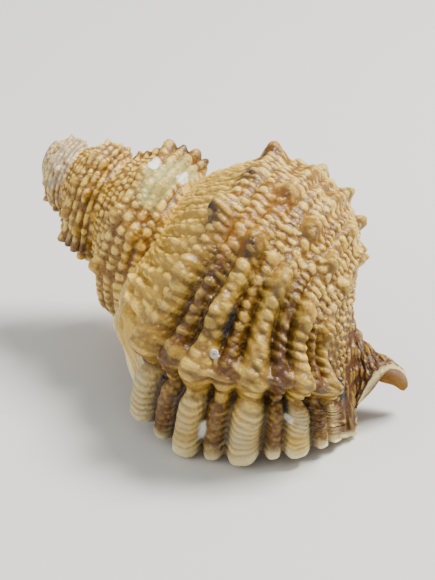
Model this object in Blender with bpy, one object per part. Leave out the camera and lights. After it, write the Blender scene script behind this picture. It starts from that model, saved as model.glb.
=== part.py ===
"""Frog shell: one grown, right-handed shell lying on its aperture, with a small worm tube cemented to it.

The shell is worked out in its growth frame, in millimetres: the spire's tip at the origin, the coiling
axis along +X towards the siphonal canal, the back up +Z and the outer lip on the -Y side. The angle psi, in
degrees, runs from the back (0) down over the lip side (90) and under. A place on a whorl is psi and a step:
0 at the suture, then about one for each row of knobs, 8 where the neck begins and 10 at the canal's open
end. The shell is then pitched and rolled into the way it lies, set on Z = 0 and turned into metres.
"""

import bmesh
import bpy
import numpy as np
from mathutils import Euler, Matrix, Vector

MM = 0.001

# Growth: every turn is GROWTH times the size of the turn before it, and SPIRE_GROWTH times before SPIRE_PSI.
GROWTH = 1.82
SPIRE_GROWTH = 1.56
SPIRE_PSI = -330.0
SPIRE_STRETCH = 21.6
TURNS = 3.45
FULL_SIZE_PSI = 110.0
LIP_PSI = 107.0

# Profile of one whorl at full size, row by row from the suture, as (distance along the axis, radius).
RAMP = (53.0, 27.6)
SHOULDER_ROW = (61.2, 35.2)
SECOND_ROW = (72.2, 38.4)
THIRD_ROW = (82.0, 36.0)
FOURTH_ROW = (90.0, 31.6)
FIFTH_ROW = (94.6, 25.6)
NECK_START = (97.4, 20.0)
NECK = (98.6, 14.6)
NECK_STEP = 8.0
TIP_STEP = 10.0

# The suture's step on the whorl before it: near the lip it climbs, and pulls the ramp and shoulder with it.
SUTURE_STEP = 4.15
SUTURE_CLIMB = 1.0
CLIMB_PSI = 45.0
RAMP_PULL = 5.0
SHOULDER_PULL = 3.0

# Siphonal canal: its end is an arch over a gap, from the leg on the lip's side to the far leg.
CANAL_END = (97.2, -3.0, 1.6)
CANAL_HALF_WIDTH = 5.9
CANAL_HALF_HEIGHT = 7.0
CANAL_LIP_LEG = 160.0
CANAL_FAR_LEG = 98.0
CANAL_EASE = 0.67
CANAL_RISE = 1.5
CANAL_SLANT = 0.45
CANAL_WALL = 1.6
NECK_BEND = 9.0  # how far the neck's first bend reaches, at full size
NECK_SLOPE = 0.7
CANAL_FORWARD = 0.45
CHANNEL_START = (66.0, -11.0, -4.0)
CHANNEL_START_RADIUS = 1.2
CHANNEL_FULL_X = 86.0
CHANNEL_DROP = 3.1
CHANNEL_EXTRA_HEIGHT = 1.0

# Sculpture, in millimetres at full size.
VARIX_PSI = 75.0
VARIX_EVERY = 240.0
VARIX_BEFORE = 9.0
VARIX_AFTER = 5.0
LIP_HEIGHTS = (3.2, 2.0, 2.6, 3.8, 1.5)  # as they stand, from the lip's varix back to the oldest
KNOBS_PER_TURN = 14
SPIRE_KNOBS_PER_TURN = 10
SPIRE_KNOBS_PSI = -200.0
KNOB_HALF_ANGLE = 6.5
KNOB_HALF_STEP = 0.28
KNOB_ROWS = ((2.0, 3.3, 57.0), (3.05, 2.5, 62.0), (4.0, 2.1, 42.0), (4.9, 1.8, 46.0), (5.8, 1.4, 45.0))
KNOBS_END_PSI = (64.0, 72.0)
WORN_KNOB = (5.6, 2.0)
RIDGE_STEPS = (2.1, 3.1, 4.0, 4.9, 5.8)
MINOR_RIDGE_STEPS = (2.6, 3.56, 4.46, 5.36)
RIDGE_HALF_STEP = 0.225
MINOR_RIDGE_HALF_STEP = 0.15
MINOR_RIDGE_SHARE = 0.75
CORD_HEIGHT = 0.9
FLUTE_HEIGHT = 3.6
GROOVE_LEVEL = 0.45
FLUTES_PSI = (24.0, 66.0)
FLUTE_SPLAY = 0.9
SPLAY_STEPS = (3.4, 7.0)
SPLAY_PSI = (40.0, 90.0)
LOW_FLUTES = (5.0, 6.6)  # steps over which the flutes get lower
LOW_FLUTE_SHARE = 0.6
STEP_PSI = 84.0
STEP_DEPTH = 1.0
FLARE = 1.2
SCALLOP_PSI = 2.0
LIP_LEAN = 5.0
LEAN_PSI = STEP_PSI - 20.0  # where the lip's lean and scallops begin

# The side of the last whorl that faces the aperture: pressed flat, and bare where the next whorl covers it.
UNDERSIDE_PSI = (-165.0, -120.0)
COLUMELLA_PSI = LIP_PSI - 360.0
COVERED_PSI = (COLUMELLA_PSI + 5.0, COLUMELLA_PSI + 45.0)
UNDERSIDE_FLAT = 3.6
UNDERSIDE_STEP = 3.9
UNDERSIDE_HALF_STEP = 1.6

WALL = 2.3
WEB_INSET = 3.0
CANAL_CONE = 4.0
TIP_CONE = 2.2
LIP_WALL_SHARE = 0.7
COLUMELLA_GAP = 0.5
CAVITY_TURNS = 0.55
CAVITY_STEPS = (0.75, 7.5)  # reach of the cavity's outer wall
COLUMELLA_STEPS = (9.0, 8.5, 4.6)  # its inner wall: from 9 at the lip, 8.5 deeper in, to the whorl before

# Worm tube: a flat coil, lying just clear of the shell.
WORM_COIL_RADIUS = 0.85
WORM_TUBE_RADIUS = 0.36
WORM_GAP = 2.1
WORM_PLACE = (72.0, 3.35)

# How the shell lies.
PITCH = 20.7
ROLL = -1.27

SHELL_SHARE = 0.255  # share of the outside's triangles that is kept

SHELL_COLOUR = (0.53, 0.33, 0.13, 1.0)
CHALK_COLOUR = (0.72, 0.69, 0.62, 1.0)


def clear_scene():
    for item in list(bpy.data.objects):
        bpy.data.objects.remove(item, do_unlink=True)


def material(name, colour, roughness):
    made = bpy.data.materials.new(name)
    made.use_nodes = True
    shader = made.node_tree.nodes["Principled BSDF"]
    shader.inputs["Base Color"].default_value = colour
    shader.inputs["Roughness"].default_value = roughness
    shader.inputs["Metallic"].default_value = 0.0
    return made


def smooth(value, low, high):
    """Cubic ease from 0 at low to 1 at high."""
    x = np.clip((value - low) / (high - low), 0.0, 1.0)
    return x * x * (3 - 2 * x)


def bump(distance, half_width):
    """Bell curve: 1 at no distance, falling to 1/e at the half width."""
    return np.exp(-((distance / half_width) ** 2))


def plateau(distance, half_width):
    """Flat-topped bell."""
    return np.exp(-((distance / half_width) ** 4))


def growth(psi):
    """Size of the whorl at psi, as a share of full size."""
    late = GROWTH ** ((np.maximum(psi, SPIRE_PSI) - FULL_SIZE_PSI) / 360.0)
    return late * SPIRE_GROWTH ** (np.minimum(psi - SPIRE_PSI, 0.0) / 360.0)


def scatter(first, second, seed):
    """A number from 0 to 1 for each pair of whole numbers: the fraction of a large sine."""
    value = np.sin(first * 12.9898 + second * 78.233 + seed * 37.719) * 43758.5453
    return value - np.floor(value)


def catmull(knots, step):
    """A smooth curve through each place's own row of knots, read at a step counted from the first."""
    before_first = 2 * knots[..., :1, :] - knots[..., 1:2, :]
    after_last = 2 * knots[..., -1:, :] - knots[..., -2:-1, :]
    padded = np.concatenate([before_first, knots, after_last], axis=-2)
    cell = np.clip(np.floor(step).astype(int), 0, knots.shape[-2] - 2)
    u = (step - cell)[..., None]
    picked = [np.take_along_axis(padded, (cell + k)[..., None, None], axis=-2)[..., 0, :] for k in range(4)]
    before, start, end, after = picked
    bend = 2 * before - 5 * start + 4 * end - after
    twist = 3 * start - before - 3 * end + after
    return 0.5 * (2 * start + (end - before) * u + bend * u**2 + twist * u**3)


def suture_step(psi):
    """Where on the whorl before the suture runs: it climbs towards the spire as it nears the lip."""
    return SUTURE_STEP - SUTURE_CLIMB * smooth(psi, CLIMB_PSI, LIP_PSI)


def whorl_rows(psi):
    """The rows of the whorl at each psi, as (axial, radius): the profile scaled by the growth.

    The early whorls are drawn out along the axis. Near the lip the ramp and shoulder are pulled to the spire.
    """
    size = growth(psi)[..., None]
    knob_rows = [SHOULDER_ROW, SECOND_ROW, THIRD_ROW, FOURTH_ROW, FIFTH_ROW]
    rows = np.array([RAMP, RAMP, *knob_rows, NECK_START, NECK])
    pull = np.zeros(len(rows))
    pull[1:4] = RAMP_PULL, SHOULDER_PULL, 0.15 * SHOULDER_PULL
    drawn = SPIRE_STRETCH * np.minimum(size - growth(np.array(SPIRE_PSI)), 0.0)
    axial = drawn + (rows[:, 0] - pull * smooth(psi, CLIMB_PSI, LIP_PSI)[..., None]) * size
    return np.stack([axial, rows[:, 1] * size], -1)


def profile(psi, step):
    """The whorl's outline from the suture, which lies on the whorl before, to the neck."""
    knots = whorl_rows(psi)
    knots[..., 0, :] = catmull(whorl_rows(psi - 360.0), suture_step(psi))
    return catmull(knots, step)


def polar(axial, radius, psi):
    """A point from its distance along the coiling axis, its radius and its angle."""
    angle = np.radians(psi)
    return np.stack([axial, -radius * np.sin(angle), radius * np.cos(angle)], -1)


def canal_rim(psi):
    """The canal's end: the last turn mapped onto an ellipse with a gap, its late part drawn wider."""
    share = (np.maximum(LIP_PSI - psi, 0.0) / 360.0) ** CANAL_EASE
    angle = np.radians(CANAL_LIP_LEG - (CANAL_LIP_LEG + CANAL_FAR_LEG) * share)
    aside = -CANAL_HALF_WIDTH * np.sin(angle)
    x = CANAL_END[0] + CANAL_SLANT * aside - CANAL_RISE * np.cos(angle) ** 2
    z = CANAL_END[2] + CANAL_HALF_HEIGHT * np.cos(angle)
    return np.stack([x, CANAL_END[1] + aside, z], -1)


def plain(psi, step):
    """The whorl without sculpture: the coiled profile, run on by a cubic into the canal's rim."""
    size = growth(psi)
    on_profile = profile(psi, np.minimum(step, NECK_STEP))
    coiled = polar(on_profile[..., 0], on_profile[..., 1], psi)
    start = polar(NECK[0] * size, NECK[1] * size, psi)
    end = canal_rim(psi)
    reach = np.linalg.norm(end - start, axis=-1, keepdims=True)
    slope = polar(np.full_like(size, NECK_SLOPE), np.full_like(size, -NECK_SLOPE), psi)
    inward = slope * np.minimum(reach, NECK_BEND * size[..., None])
    forward = np.zeros_like(end)
    forward[..., 0] = CANAL_FORWARD * reach[..., 0]
    u = np.clip((step - NECK_STEP) / (TIP_STEP - NECK_STEP), 0.0, 1.0)[..., None]
    canal = (
        (2 * u**3 - 3 * u**2 + 1) * start
        + (u**3 - 2 * u**2 + u) * inward
        + (3 * u**2 - 2 * u**3) * end
        + (u**3 - u**2) * forward
    )
    return np.where(step[..., None] <= NECK_STEP, coiled, canal)


def row_at(psi, step):
    """The row of sculpture at a place: the rows splay towards the canal as they near the lip."""
    return step - FLUTE_SPLAY * smooth(step, *SPLAY_STEPS) * smooth(psi, *SPLAY_PSI)


def ridges(row):
    """Raised cords, 0 to 1: broad at the rows of knobs, narrow between them. They end as the lip's flutes."""
    major = sum(plateau(row - middle, RIDGE_HALF_STEP) for middle in RIDGE_STEPS)
    minor = sum(plateau(row - middle, MINOR_RIDGE_HALF_STEP) for middle in MINOR_RIDGE_STEPS)
    return major + MINOR_RIDGE_SHARE * minor


def lip_lean(step):
    """How far ahead of its middle the lip runs at each step: furthest on the spire's side."""
    return LIP_LEAN * (4.0 - np.clip(step, 0.0, 5.2))


def leant(psi, step):
    """Psi counted from a line that leans as the lip does, so that old lips and the last one run alike."""
    return psi - lip_lean(step) * (1 - smooth(psi, LEAN_PSI, LIP_PSI))


def old_lips(psi):
    """The lip's varix and the former ones, each a bell that falls faster on the side of growth."""
    height = np.zeros_like(psi)
    for number, tall in enumerate(LIP_HEIGHTS):
        middle = VARIX_PSI - number * VARIX_EVERY
        off = psi - middle
        height = height + bump(off, np.where(off < 0, VARIX_BEFORE, VARIX_AFTER)) * tall / growth(middle)
    return height


def underside(psi):
    """1 on the side of the last whorl that faces the aperture, 0 on its back."""
    return (1 - smooth(psi, *UNDERSIDE_PSI)) * smooth(psi, COLUMELLA_PSI, COLUMELLA_PSI + 28.0)


def knobs(psi, row):
    """The rows of large knobs, each knob of its own height, with one worn low on the back."""
    height = np.zeros_like(psi)
    every = 360.0 / np.where(psi > SPIRE_KNOBS_PSI, KNOBS_PER_TURN, SPIRE_KNOBS_PER_TURN)
    half_angle = KNOB_HALF_ANGLE * every / every.min()
    for middle, tall, phase in KNOB_ROWS:
        along = (psi - phase + every / 2) % every - every / 2
        own = 0.7 + 0.5 * scatter(np.floor((psi - phase) / every + 0.5), middle, 5)
        height = height + tall * own * bump(along, half_angle) * bump(row - middle, KNOB_HALF_STEP)
    height = height * (1 - 0.8 * bump(psi - WORN_KNOB[0], 12.0) * bump(row - WORN_KNOB[1], 0.7))
    return height * (1 - smooth(psi, *KNOBS_END_PSI)) * (1 - 0.8 * underside(psi))


def sculpture(psi, step):
    """Cords, flutes, knobs, old lips and the flared lip above the plain whorl, in millimetres."""
    row = row_at(psi, step)
    cord = ridges(row)
    near_lip = smooth(psi, *FLUTES_PSI) * smooth(step, 0.9, 1.8)
    flute = FLUTE_HEIGHT * (1 - (1 - LOW_FLUTE_SHARE) * smooth(step, *LOW_FLUTES))
    height = CORD_HEIGHT * (1 - near_lip) * cord + flute * near_lip * (cord - GROOVE_LEVEL)
    pressed = UNDERSIDE_FLAT * underside(psi) * bump(step - UNDERSIDE_STEP, UNDERSIDE_HALF_STEP)
    height = height + knobs(psi, row) - pressed
    at = leant(psi, step)
    height = height + old_lips(at) * (0.6 + 0.4 * cord)
    fan = np.clip((at - STEP_PSI) / (LIP_PSI - STEP_PSI), 0.0, 1.2)
    height = height + FLARE * fan**1.4 - STEP_DEPTH * bump(at - STEP_PSI, 3.5)
    covered = 1 - smooth(psi, *COVERED_PSI)
    to_suture = smooth(np.abs(step - suture_step(np.minimum(psi + 360.0, LIP_PSI))), 0.0, 0.6)
    before_neck = 1 - smooth(step, NECK_STEP - 1.7, NECK_STEP - 0.1)
    keep = smooth(step, 0.0, 0.5) * (1 - covered * (1 - to_suture)) * before_neck
    return growth(psi) * height * keep


def scalloped(psi, step):
    """Flutes reach further than the grooves between them, and the lip reaches furthest near the spire."""
    reach = SCALLOP_PSI * (ridges(row_at(psi, step)) - 0.5) + lip_lean(step)
    ends = smooth(step, 0.0, 1.0) * (1 - smooth(step, NECK_STEP - 1.0, NECK_STEP))
    return psi + reach * ends * smooth(psi, LEAN_PSI, LIP_PSI)


def outward(psi, step):
    """The plain whorl's normal: the cross product of its slopes along and across the spiral."""
    turned, moved = 0.4, 0.02
    along = plain(psi + turned, step) - plain(psi - turned, step)
    across = plain(psi, np.minimum(step + moved, TIP_STEP)) - plain(psi, np.maximum(step - moved, 0.0))
    normal = np.cross(along, across)
    return normal / np.linalg.norm(normal, axis=-1, keepdims=True)


def lifted(psi, step, height):
    """The plain whorl, scalloped at the lip and pushed out along its normal by a height."""
    return plain(scalloped(psi, step), step) + outward(psi, step) * height[..., None]


def spread(ends, gaps):
    """Places from the first end to the last, even between neighbouring ends, about the given gap apart."""
    runs = [np.linspace(a, b, round(abs(b - a) / gap) + 1)[:-1] for a, b, gap in zip(ends, ends[1:], gaps)]
    return np.append(np.concatenate(runs), ends[-1])


def quads(index):
    """Two triangles for each cell of a grid of vertex numbers."""
    a, b, c, d = index[:-1, :-1], index[1:, :-1], index[1:, 1:], index[:-1, 1:]
    return np.concatenate([np.stack([a, b, c], -1).reshape(-1, 3), np.stack([a, c, d], -1).reshape(-1, 3)])


def strip(first, first_at, second, second_at):
    """Triangles between two rows of vertices whose places run between the same ends, in order of place."""
    facing = np.searchsorted(second_at[1:], first_at[1:], side="left")
    down = np.stack([first[:-1], first[1:], second[facing]], -1)
    facing = np.searchsorted(first_at[1:], second_at[1:], side="right")
    up = np.stack([second[1:], second[:-1], first[facing]], -1)
    return np.concatenate([down, up])


def fan_over(loop, centre):
    """Triangles from each edge of a closed loop to one vertex."""
    return np.stack([loop, np.roll(loop, -1), np.full_like(loop, centre)], -1)


def add_mesh(name, points, triangles):
    """A mesh object from arrays, without the triangles that have no area, with its faces turned outwards."""
    a, b, c = triangles.T
    triangles = triangles[(a != b) & (b != c) & (a != c)]
    mesh = bpy.data.meshes.new(name)
    mesh.from_pydata(points.tolist(), [], triangles.tolist())
    mesh.validate()
    edit = bmesh.new()
    edit.from_mesh(mesh)
    bmesh.ops.recalc_face_normals(edit, faces=edit.faces)
    edit.to_mesh(mesh)
    edit.free()
    made = bpy.data.objects.new(name, mesh)
    bpy.context.collection.objects.link(made)
    return made


def shell_outside():
    """The whole outside as one closed mesh.

    It has a grid for the last whorl and one for the spire, strips that sew each whorl to the next along the
    suture, a web over the aperture, and fans over the canal's end and the tip.
    """
    end_psi = LIP_PSI - 360.0 * TURNS
    last_psi = spread([LIP_PSI, 20.0, LIP_PSI - 360.0], [2.0, 3.2])
    last_steps = spread([0.0, NECK_STEP, TIP_STEP], [0.125, 0.25])
    spire_psi = spread([LIP_PSI - 361.0, end_psi + 360.0, end_psi], [4.0, 9.0])
    spire_share = np.linspace(0.0, 0.97, 18)
    last_grid = np.meshgrid(last_psi, last_steps, indexing="ij")
    spire_grid = np.meshgrid(spire_psi, spire_share, indexing="ij")
    spire_grid[1] = spire_grid[1] * suture_step(spire_grid[0] + 360.0)
    grids = [lifted(psi, step, sculpture(psi, step)) for psi, step in (last_grid, spire_grid)]
    points = np.concatenate([grid.reshape(-1, 3) for grid in grids])
    last = np.arange(last_grid[0].size).reshape(last_grid[0].shape)
    spire = last.size + np.arange(spire_grid[0].size).reshape(spire_grid[0].shape)
    lip_suture = suture_step(np.array(LIP_PSI))
    suture = int(np.argmin(np.abs(last_steps - lip_suture)))
    last[-1, suture] = last[0, 0]
    triangles = [quads(last), quads(spire)]
    column_at = last_steps[:suture] / last_steps[suture - 1]
    triangles.append(strip(last[-1, :suture], column_at, spire[0], spire_share / spire_share[-1]))
    sewn = int(np.argmax(spire_psi <= end_psi + 360.0 + 1e-6))
    upper = np.concatenate([last[:, 0], spire[: sewn + 1, 0]])
    upper_at = 360.0 - np.concatenate([last_psi, spire_psi[: sewn + 1]])
    lower = np.append(last[-1, suture - 1], spire[:, -1])
    lower_at = -np.append(last_psi[-1], spire_psi)
    triangles.append(strip(upper, upper_at, lower, lower_at))
    canal_middle = points[last[:, -1]].mean(axis=0) + np.array([CANAL_CONE, 0.0, 0.0])
    triangles.append(fan_over(last[:, -1], len(points)))
    tip_loop = np.concatenate([spire[sewn:, 0], spire[-1, 1:]])
    triangles.append(fan_over(tip_loop, len(points) + 1))
    tip = points[tip_loop].mean(axis=0) - np.array([TIP_CONE, 0.0, 0.0])
    inset = WEB_INSET * smooth(last_steps, 0.6, 2.0) * (1 - smooth(last_steps, 8.6, TIP_STEP))
    within = lifted(last_grid[0][0], last_steps, sculpture(last_grid[0][0], last_steps) - inset)[1:-1]
    inner = np.concatenate([last[0, :1], len(points) + 2 + np.arange(len(within)), last[0, -1:]])
    triangles.append(quads(np.stack([last[0], inner])))
    web_at = (last_steps[suture:] - lip_suture) / (TIP_STEP - lip_suture)
    triangles.append(strip(inner, last_steps / TIP_STEP, last[-1, suture:], web_at))
    points = np.concatenate([points, [canal_middle, tip], within])
    return add_mesh("shell", points, np.concatenate(triangles))


def tube(name, rings, lead=0.0):
    """A closed tube through rings of points, with a fan over each end.

    The first fan is drawn out to a point that leads the first ring by a share of the way from the second.
    """
    count, around = rings.shape[:2]
    index = np.arange(count * around).reshape(count, around)
    sides = quads(np.hstack([index, index[:, :1]]))
    ends = [fan_over(index[0], count * around), fan_over(index[-1], count * around + 1)]
    middles = rings.mean(axis=1)
    peak = middles[0] + lead * (middles[0] - middles[1])
    points = np.concatenate([rings.reshape(-1, 3), [peak, middles[-1]]])
    return add_mesh(name, points, np.concatenate([sides, *ends]))


def aperture_cutter():
    """The hollow of the last half turn.

    Its outer wall follows the grooves at the wall's thickness and rises half as high as the flutes. Its inner
    wall runs smoothly over the whorl before and the columella.
    """
    back = np.linspace(-0.02, CAVITY_TURNS, 22)[:, None]
    psi = LIP_PSI - 360.0 * back
    outer_psi, outer_step = np.broadcast_arrays(psi, np.linspace(*CAVITY_STEPS, 28)[None])
    wall = WALL * (LIP_WALL_SHARE + (1 - LIP_WALL_SHARE) * smooth(back, 0.0, 0.03)) * growth(outer_psi)
    height = sculpture(outer_psi, outer_step)
    outer = lifted(outer_psi, outer_step, np.minimum(height, 0.5 * height) - wall)
    at_lip, deeper, at_suture = COLUMELLA_STEPS
    from_step = at_lip + (deeper - at_lip) * smooth(back, 0.02, 0.12)
    inner_step = from_step + (at_suture - from_step) * np.linspace(0.0, 1.0, 16)[None]
    inner_psi, inner_step = np.broadcast_arrays(psi - 360.0, inner_step)
    gap = COLUMELLA_GAP * growth(inner_psi)
    inner = plain(inner_psi, inner_step) + outward(inner_psi, inner_step) * gap[..., None]
    rings = np.concatenate([outer, inner], axis=1)
    narrowing = 0.5 * smooth(back, CAVITY_TURNS - 0.12, CAVITY_TURNS)[..., None]
    return tube("aperture_cutter", rings + (rings.mean(axis=1, keepdims=True) - rings) * narrowing, lead=2.0)


def canal_cutter():
    """The channel in the canal: ellipses along X that start in the aperture, widen and open underneath."""
    angle = np.radians(np.linspace(0, 360, 24, endpoint=False))[None]
    x = np.linspace(CHANNEL_START[0], CANAL_END[0] + 6.0, 14)[:, None]
    run = smooth(x, CHANNEL_START[0], CHANNEL_FULL_X)
    end_half_width = CANAL_HALF_WIDTH - CANAL_WALL
    end_half_height = CANAL_HALF_HEIGHT + CHANNEL_EXTRA_HEIGHT
    half_width = CHANNEL_START_RADIUS + (end_half_width - CHANNEL_START_RADIUS) * run
    half_height = CHANNEL_START_RADIUS + (end_half_height - CHANNEL_START_RADIUS) * run
    y = CHANNEL_START[1] + (CANAL_END[1] - CHANNEL_START[1]) * run + half_width * np.sin(angle)
    drop = CANAL_END[2] - CHANNEL_DROP - CHANNEL_START[2]
    z = CHANNEL_START[2] + drop * run + half_height * np.cos(angle)
    return tube("canal_cutter", np.stack([np.broadcast_to(x, y.shape), y, z], -1))


def cut(target, cutter):
    step = target.modifiers.new(cutter.name, "BOOLEAN")
    step.operation = "DIFFERENCE"
    step.solver = "MANIFOLD"
    step.object = cutter
    cutter.hide_render = True
    cutter.display_type = "WIRE"


def worm_tube():
    """A flat coil of chalky tube, cemented in the groove between two flutes."""
    bpy.ops.mesh.primitive_torus_add(
        major_radius=WORM_COIL_RADIUS,
        minor_radius=WORM_TUBE_RADIUS,
        major_segments=24,
        minor_segments=8,
    )
    coil = bpy.context.object
    coil.name = "worm_tube"
    psi, step = (np.array([value]) for value in WORM_PLACE)
    clear = sculpture(psi, step) + WORM_TUBE_RADIUS + WORM_GAP
    spot = Vector(lifted(psi, step, clear)[0])
    facing = Vector(outward(psi, step)[0]).to_track_quat("Z", "Y").to_matrix().to_4x4()
    coil.data.transform(Matrix.Translation(spot) @ facing)
    return coil


def lay_down(items, body):
    """Pitch and roll the shell into the way it lies, stand it on Z = 0 and turn it into metres."""
    turned = Euler((np.radians(ROLL), np.radians(PITCH), 0.0)).to_matrix().to_4x4()
    lying = body.evaluated_get(bpy.context.evaluated_depsgraph_get()).to_mesh()
    corners = [turned @ vertex.co for vertex in lying.vertices]
    low = Vector(min(point[axis] for point in corners) for axis in range(3))
    high = Vector(max(point[axis] for point in corners) for axis in range(3))
    middle = Vector(((low.x + high.x) / 2, (low.y + high.y) / 2, low.z))
    for item in items:
        item.data.transform(Matrix.Scale(MM, 4) @ Matrix.Translation(-middle) @ turned)


def main():
    clear_scene()
    shell = shell_outside()
    cutters = [aperture_cutter(), canal_cutter()]
    coil = worm_tube()
    thin = shell.modifiers.new("thin", "DECIMATE")
    thin.ratio = SHELL_SHARE
    thin.use_collapse_triangulate = True
    for cutter in cutters:
        cut(shell, cutter)
    lay_down([shell, *cutters, coil], shell)
    shell.data.materials.append(material("shell", SHELL_COLOUR, 0.45))
    coil.data.materials.append(material("worm_tube", CHALK_COLOUR, 0.8))
    for item in (shell, coil):
        item.data.shade_smooth()


main()
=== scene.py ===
"""Looks of a frog shell: one finely sculptured shell and a small worm tube cemented to it.

The shell is worked out in its growth frame, in millimetres: the spire's tip at the origin, the coiling axis
along +X towards the siphonal canal, the back up +Z and the outer lip on the -Y side. The angle psi, in
degrees, runs from the back (0) down over the lip side (90) and under. A place on a whorl is psi and a step:
0 at the suture, then one for each row of knobs, 8 where the neck begins and 10 at the canal's open end.
A row is a step counted along the sculpture, whose rows splay towards the canal near the lip.

Unless a value says otherwise, lengths are in millimetres at full size, angles in degrees of psi, a pair of
steps, rows or angles is the stretch over which something eases in or out, and a share runs from 0 to 1.
"""

from types import SimpleNamespace

import bmesh
import bpy
import numpy as np
from mathutils import Euler, Matrix, Vector


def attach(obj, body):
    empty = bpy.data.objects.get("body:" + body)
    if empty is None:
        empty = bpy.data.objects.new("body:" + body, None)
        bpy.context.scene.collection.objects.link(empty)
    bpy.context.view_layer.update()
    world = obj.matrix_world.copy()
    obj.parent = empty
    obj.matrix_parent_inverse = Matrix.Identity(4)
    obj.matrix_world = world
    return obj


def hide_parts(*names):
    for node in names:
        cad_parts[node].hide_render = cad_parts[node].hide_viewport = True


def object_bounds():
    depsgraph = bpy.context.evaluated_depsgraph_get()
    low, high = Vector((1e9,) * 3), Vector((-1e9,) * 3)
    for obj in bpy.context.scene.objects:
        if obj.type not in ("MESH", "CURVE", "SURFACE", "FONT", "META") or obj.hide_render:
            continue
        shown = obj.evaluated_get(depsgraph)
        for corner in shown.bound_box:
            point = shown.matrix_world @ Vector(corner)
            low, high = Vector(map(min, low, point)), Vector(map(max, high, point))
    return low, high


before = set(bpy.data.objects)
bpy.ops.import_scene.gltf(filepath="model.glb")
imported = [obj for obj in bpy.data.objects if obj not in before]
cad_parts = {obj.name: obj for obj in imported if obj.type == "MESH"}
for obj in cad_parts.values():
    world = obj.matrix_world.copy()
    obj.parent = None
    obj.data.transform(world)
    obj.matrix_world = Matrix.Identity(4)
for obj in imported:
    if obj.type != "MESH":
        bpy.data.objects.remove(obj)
cad_low, cad_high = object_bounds()

MM = 0.001

# Growth, as the solids have it. A row of the profile is (distance along the axis, radius).
GROWTH = 1.82
SPIRE_GROWTH = 1.56
SPIRE_PSI = -330.0
SPIRE_STRETCH = 21.6
TURNS = 3.45
FULL_SIZE_PSI = 110.0
LIP_PSI = 107.0
RAMP = (53.0, 27.6)
SHOULDER_ROW = (61.2, 35.2)
SECOND_ROW = (72.2, 38.4)
THIRD_ROW = (82.0, 36.0)
FOURTH_ROW = (90.0, 31.6)
FIFTH_ROW = (94.6, 25.6)
NECK_START = (97.4, 20.0)
NECK = (98.6, 14.6)
PROFILE_ROWS = (RAMP, SHOULDER_ROW, SECOND_ROW, THIRD_ROW, FOURTH_ROW, FIFTH_ROW, NECK_START, NECK)
SUTURE_STEP = 4.15
SUTURE_CLIMB = 1.0
CLIMB_PSI = 45.0
RAMP_PULL = 5.0
SHOULDER_PULL = 3.0
SECOND_ROW_PULL = 0.15 * SHOULDER_PULL
NECK_STEP = 8.0
TIP_STEP = 10.0

# The siphonal canal and the channel in it, as the solids have them.
CANAL_END = (97.2, -3.0, 1.6)
CANAL_HALF_WIDTH = 5.9
CANAL_HALF_HEIGHT = 7.0
CANAL_LIP_LEG = 160.0
CANAL_FAR_LEG = 98.0
CANAL_EASE = 0.67
CANAL_RISE = 1.5
CANAL_SLANT = 0.45
CANAL_WALL = 1.6
CANAL_CONE = 4.0
NECK_BEND = 9.0
NECK_SLOPE = 0.7
CANAL_FORWARD = 0.45
CHANNEL_START = (66.0, -11.0, -4.0)
CHANNEL_START_RADIUS = 1.2
CHANNEL_FULL_X = 86.0
CHANNEL_PAST_END = 6.0
CHANNEL_DROP = 3.1
CHANNEL_EXTRA_HEIGHT = 1.0
CHANNEL_FLARE = 1.2
CHANNEL_FLARE_X = (CANAL_END[0] - 4.0, CANAL_END[0] + 0.5)

# The wall and the hollow in it. Turns are counted back from the lip.
WALL = 2.3
LIP_WALL_SHARE = 0.7
LIP_WALL_TURNS = (0.0, 0.03)
FLUTE_SHARE_INSIDE = 0.5
WEB_INSET = 3.0
WEB_STEPS = ((0.6, 2.0), (8.6, TIP_STEP))
COLUMELLA_GAP = 0.5
CAVITY_START = -0.02
CAVITY_TURNS = 0.55
CAVITY_END_TURNS = (CAVITY_TURNS - 0.12, CAVITY_TURNS)
CAVITY_NARROWING = 0.5
CAVITY_LEAD = 2.0
CAVITY_STEPS = (0.75, 7.5)
COLUMELLA_STEPS = (9.0, 8.5, 4.6)
COLUMELLA_TURNS = (0.02, 0.12)

# How it lies.
PITCH = 20.7
ROLL = -1.27

# Former lips, flutes and the flared lip.
VARIX_PSI = 75.0
VARIX_EVERY = 240.0
LIP_HEIGHTS = (3.2, 1.7, 2.3, 2.0, 1.2)
LIP_LATE = (0.0, 0.0, 13.0, 38.0, 0.0)
VARIX_BEFORE = 9.0
VARIX_AFTER = 5.0
VARIX_PLAIN_SHARE = 0.6
STEP_PSI = 84.0
STEP_DEPTH = 1.0
STEP_HALF_PSI = 3.5
EXTRA_STEP_DEPTH = 0.7
EXTRA_STEP_HALF_PSI = 2.8
RIDGE_STEPS = (2.1, 3.1, 4.0, 4.9, 5.8)
MINOR_RIDGE_STEPS = (2.6, 3.56, 4.46, 5.36)
RIDGE_HALF_STEP = 0.225
MINOR_RIDGE_HALF_STEP = 0.15
MINOR_RIDGE_SHARE = 0.75
CORD_HEIGHT = 0.9
FLUTE_HEIGHT = 3.6
GROOVE_LEVEL = 0.45
LOW_FLUTES = (5.0, 6.6)
LOW_FLUTE_SHARE = 0.6
FLUTES_PSI = (24.0, 66.0)
FLUTES_FIRST_STEPS = (0.9, 1.8)
FINE_FLUTE_STEPS = ((1.2, 1.7), (7.0, 7.6))
SPLAY_STEPS = (3.0, 3.7, 4.4, 5.0, 5.6, 6.6, 7.4)
SPLAYS = (0.0, 0.12, 0.37, 0.58, 0.72, 1.24, 1.5)
SPLAY_PSI = (40.0, 90.0)
FLARE = 1.2
FLARE_POWER = 1.4
FLARE_MOST = 1.2
SCALLOP_PSI = 1.3
SCALLOP_MIDDLE = 0.5
SCALLOP_STEPS = ((0.6, 2.0), (NECK_STEP - 1.0, NECK_STEP))
LIP_LEAN = 5.0
LEAN_MIDDLE_STEP = 4.0
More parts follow.
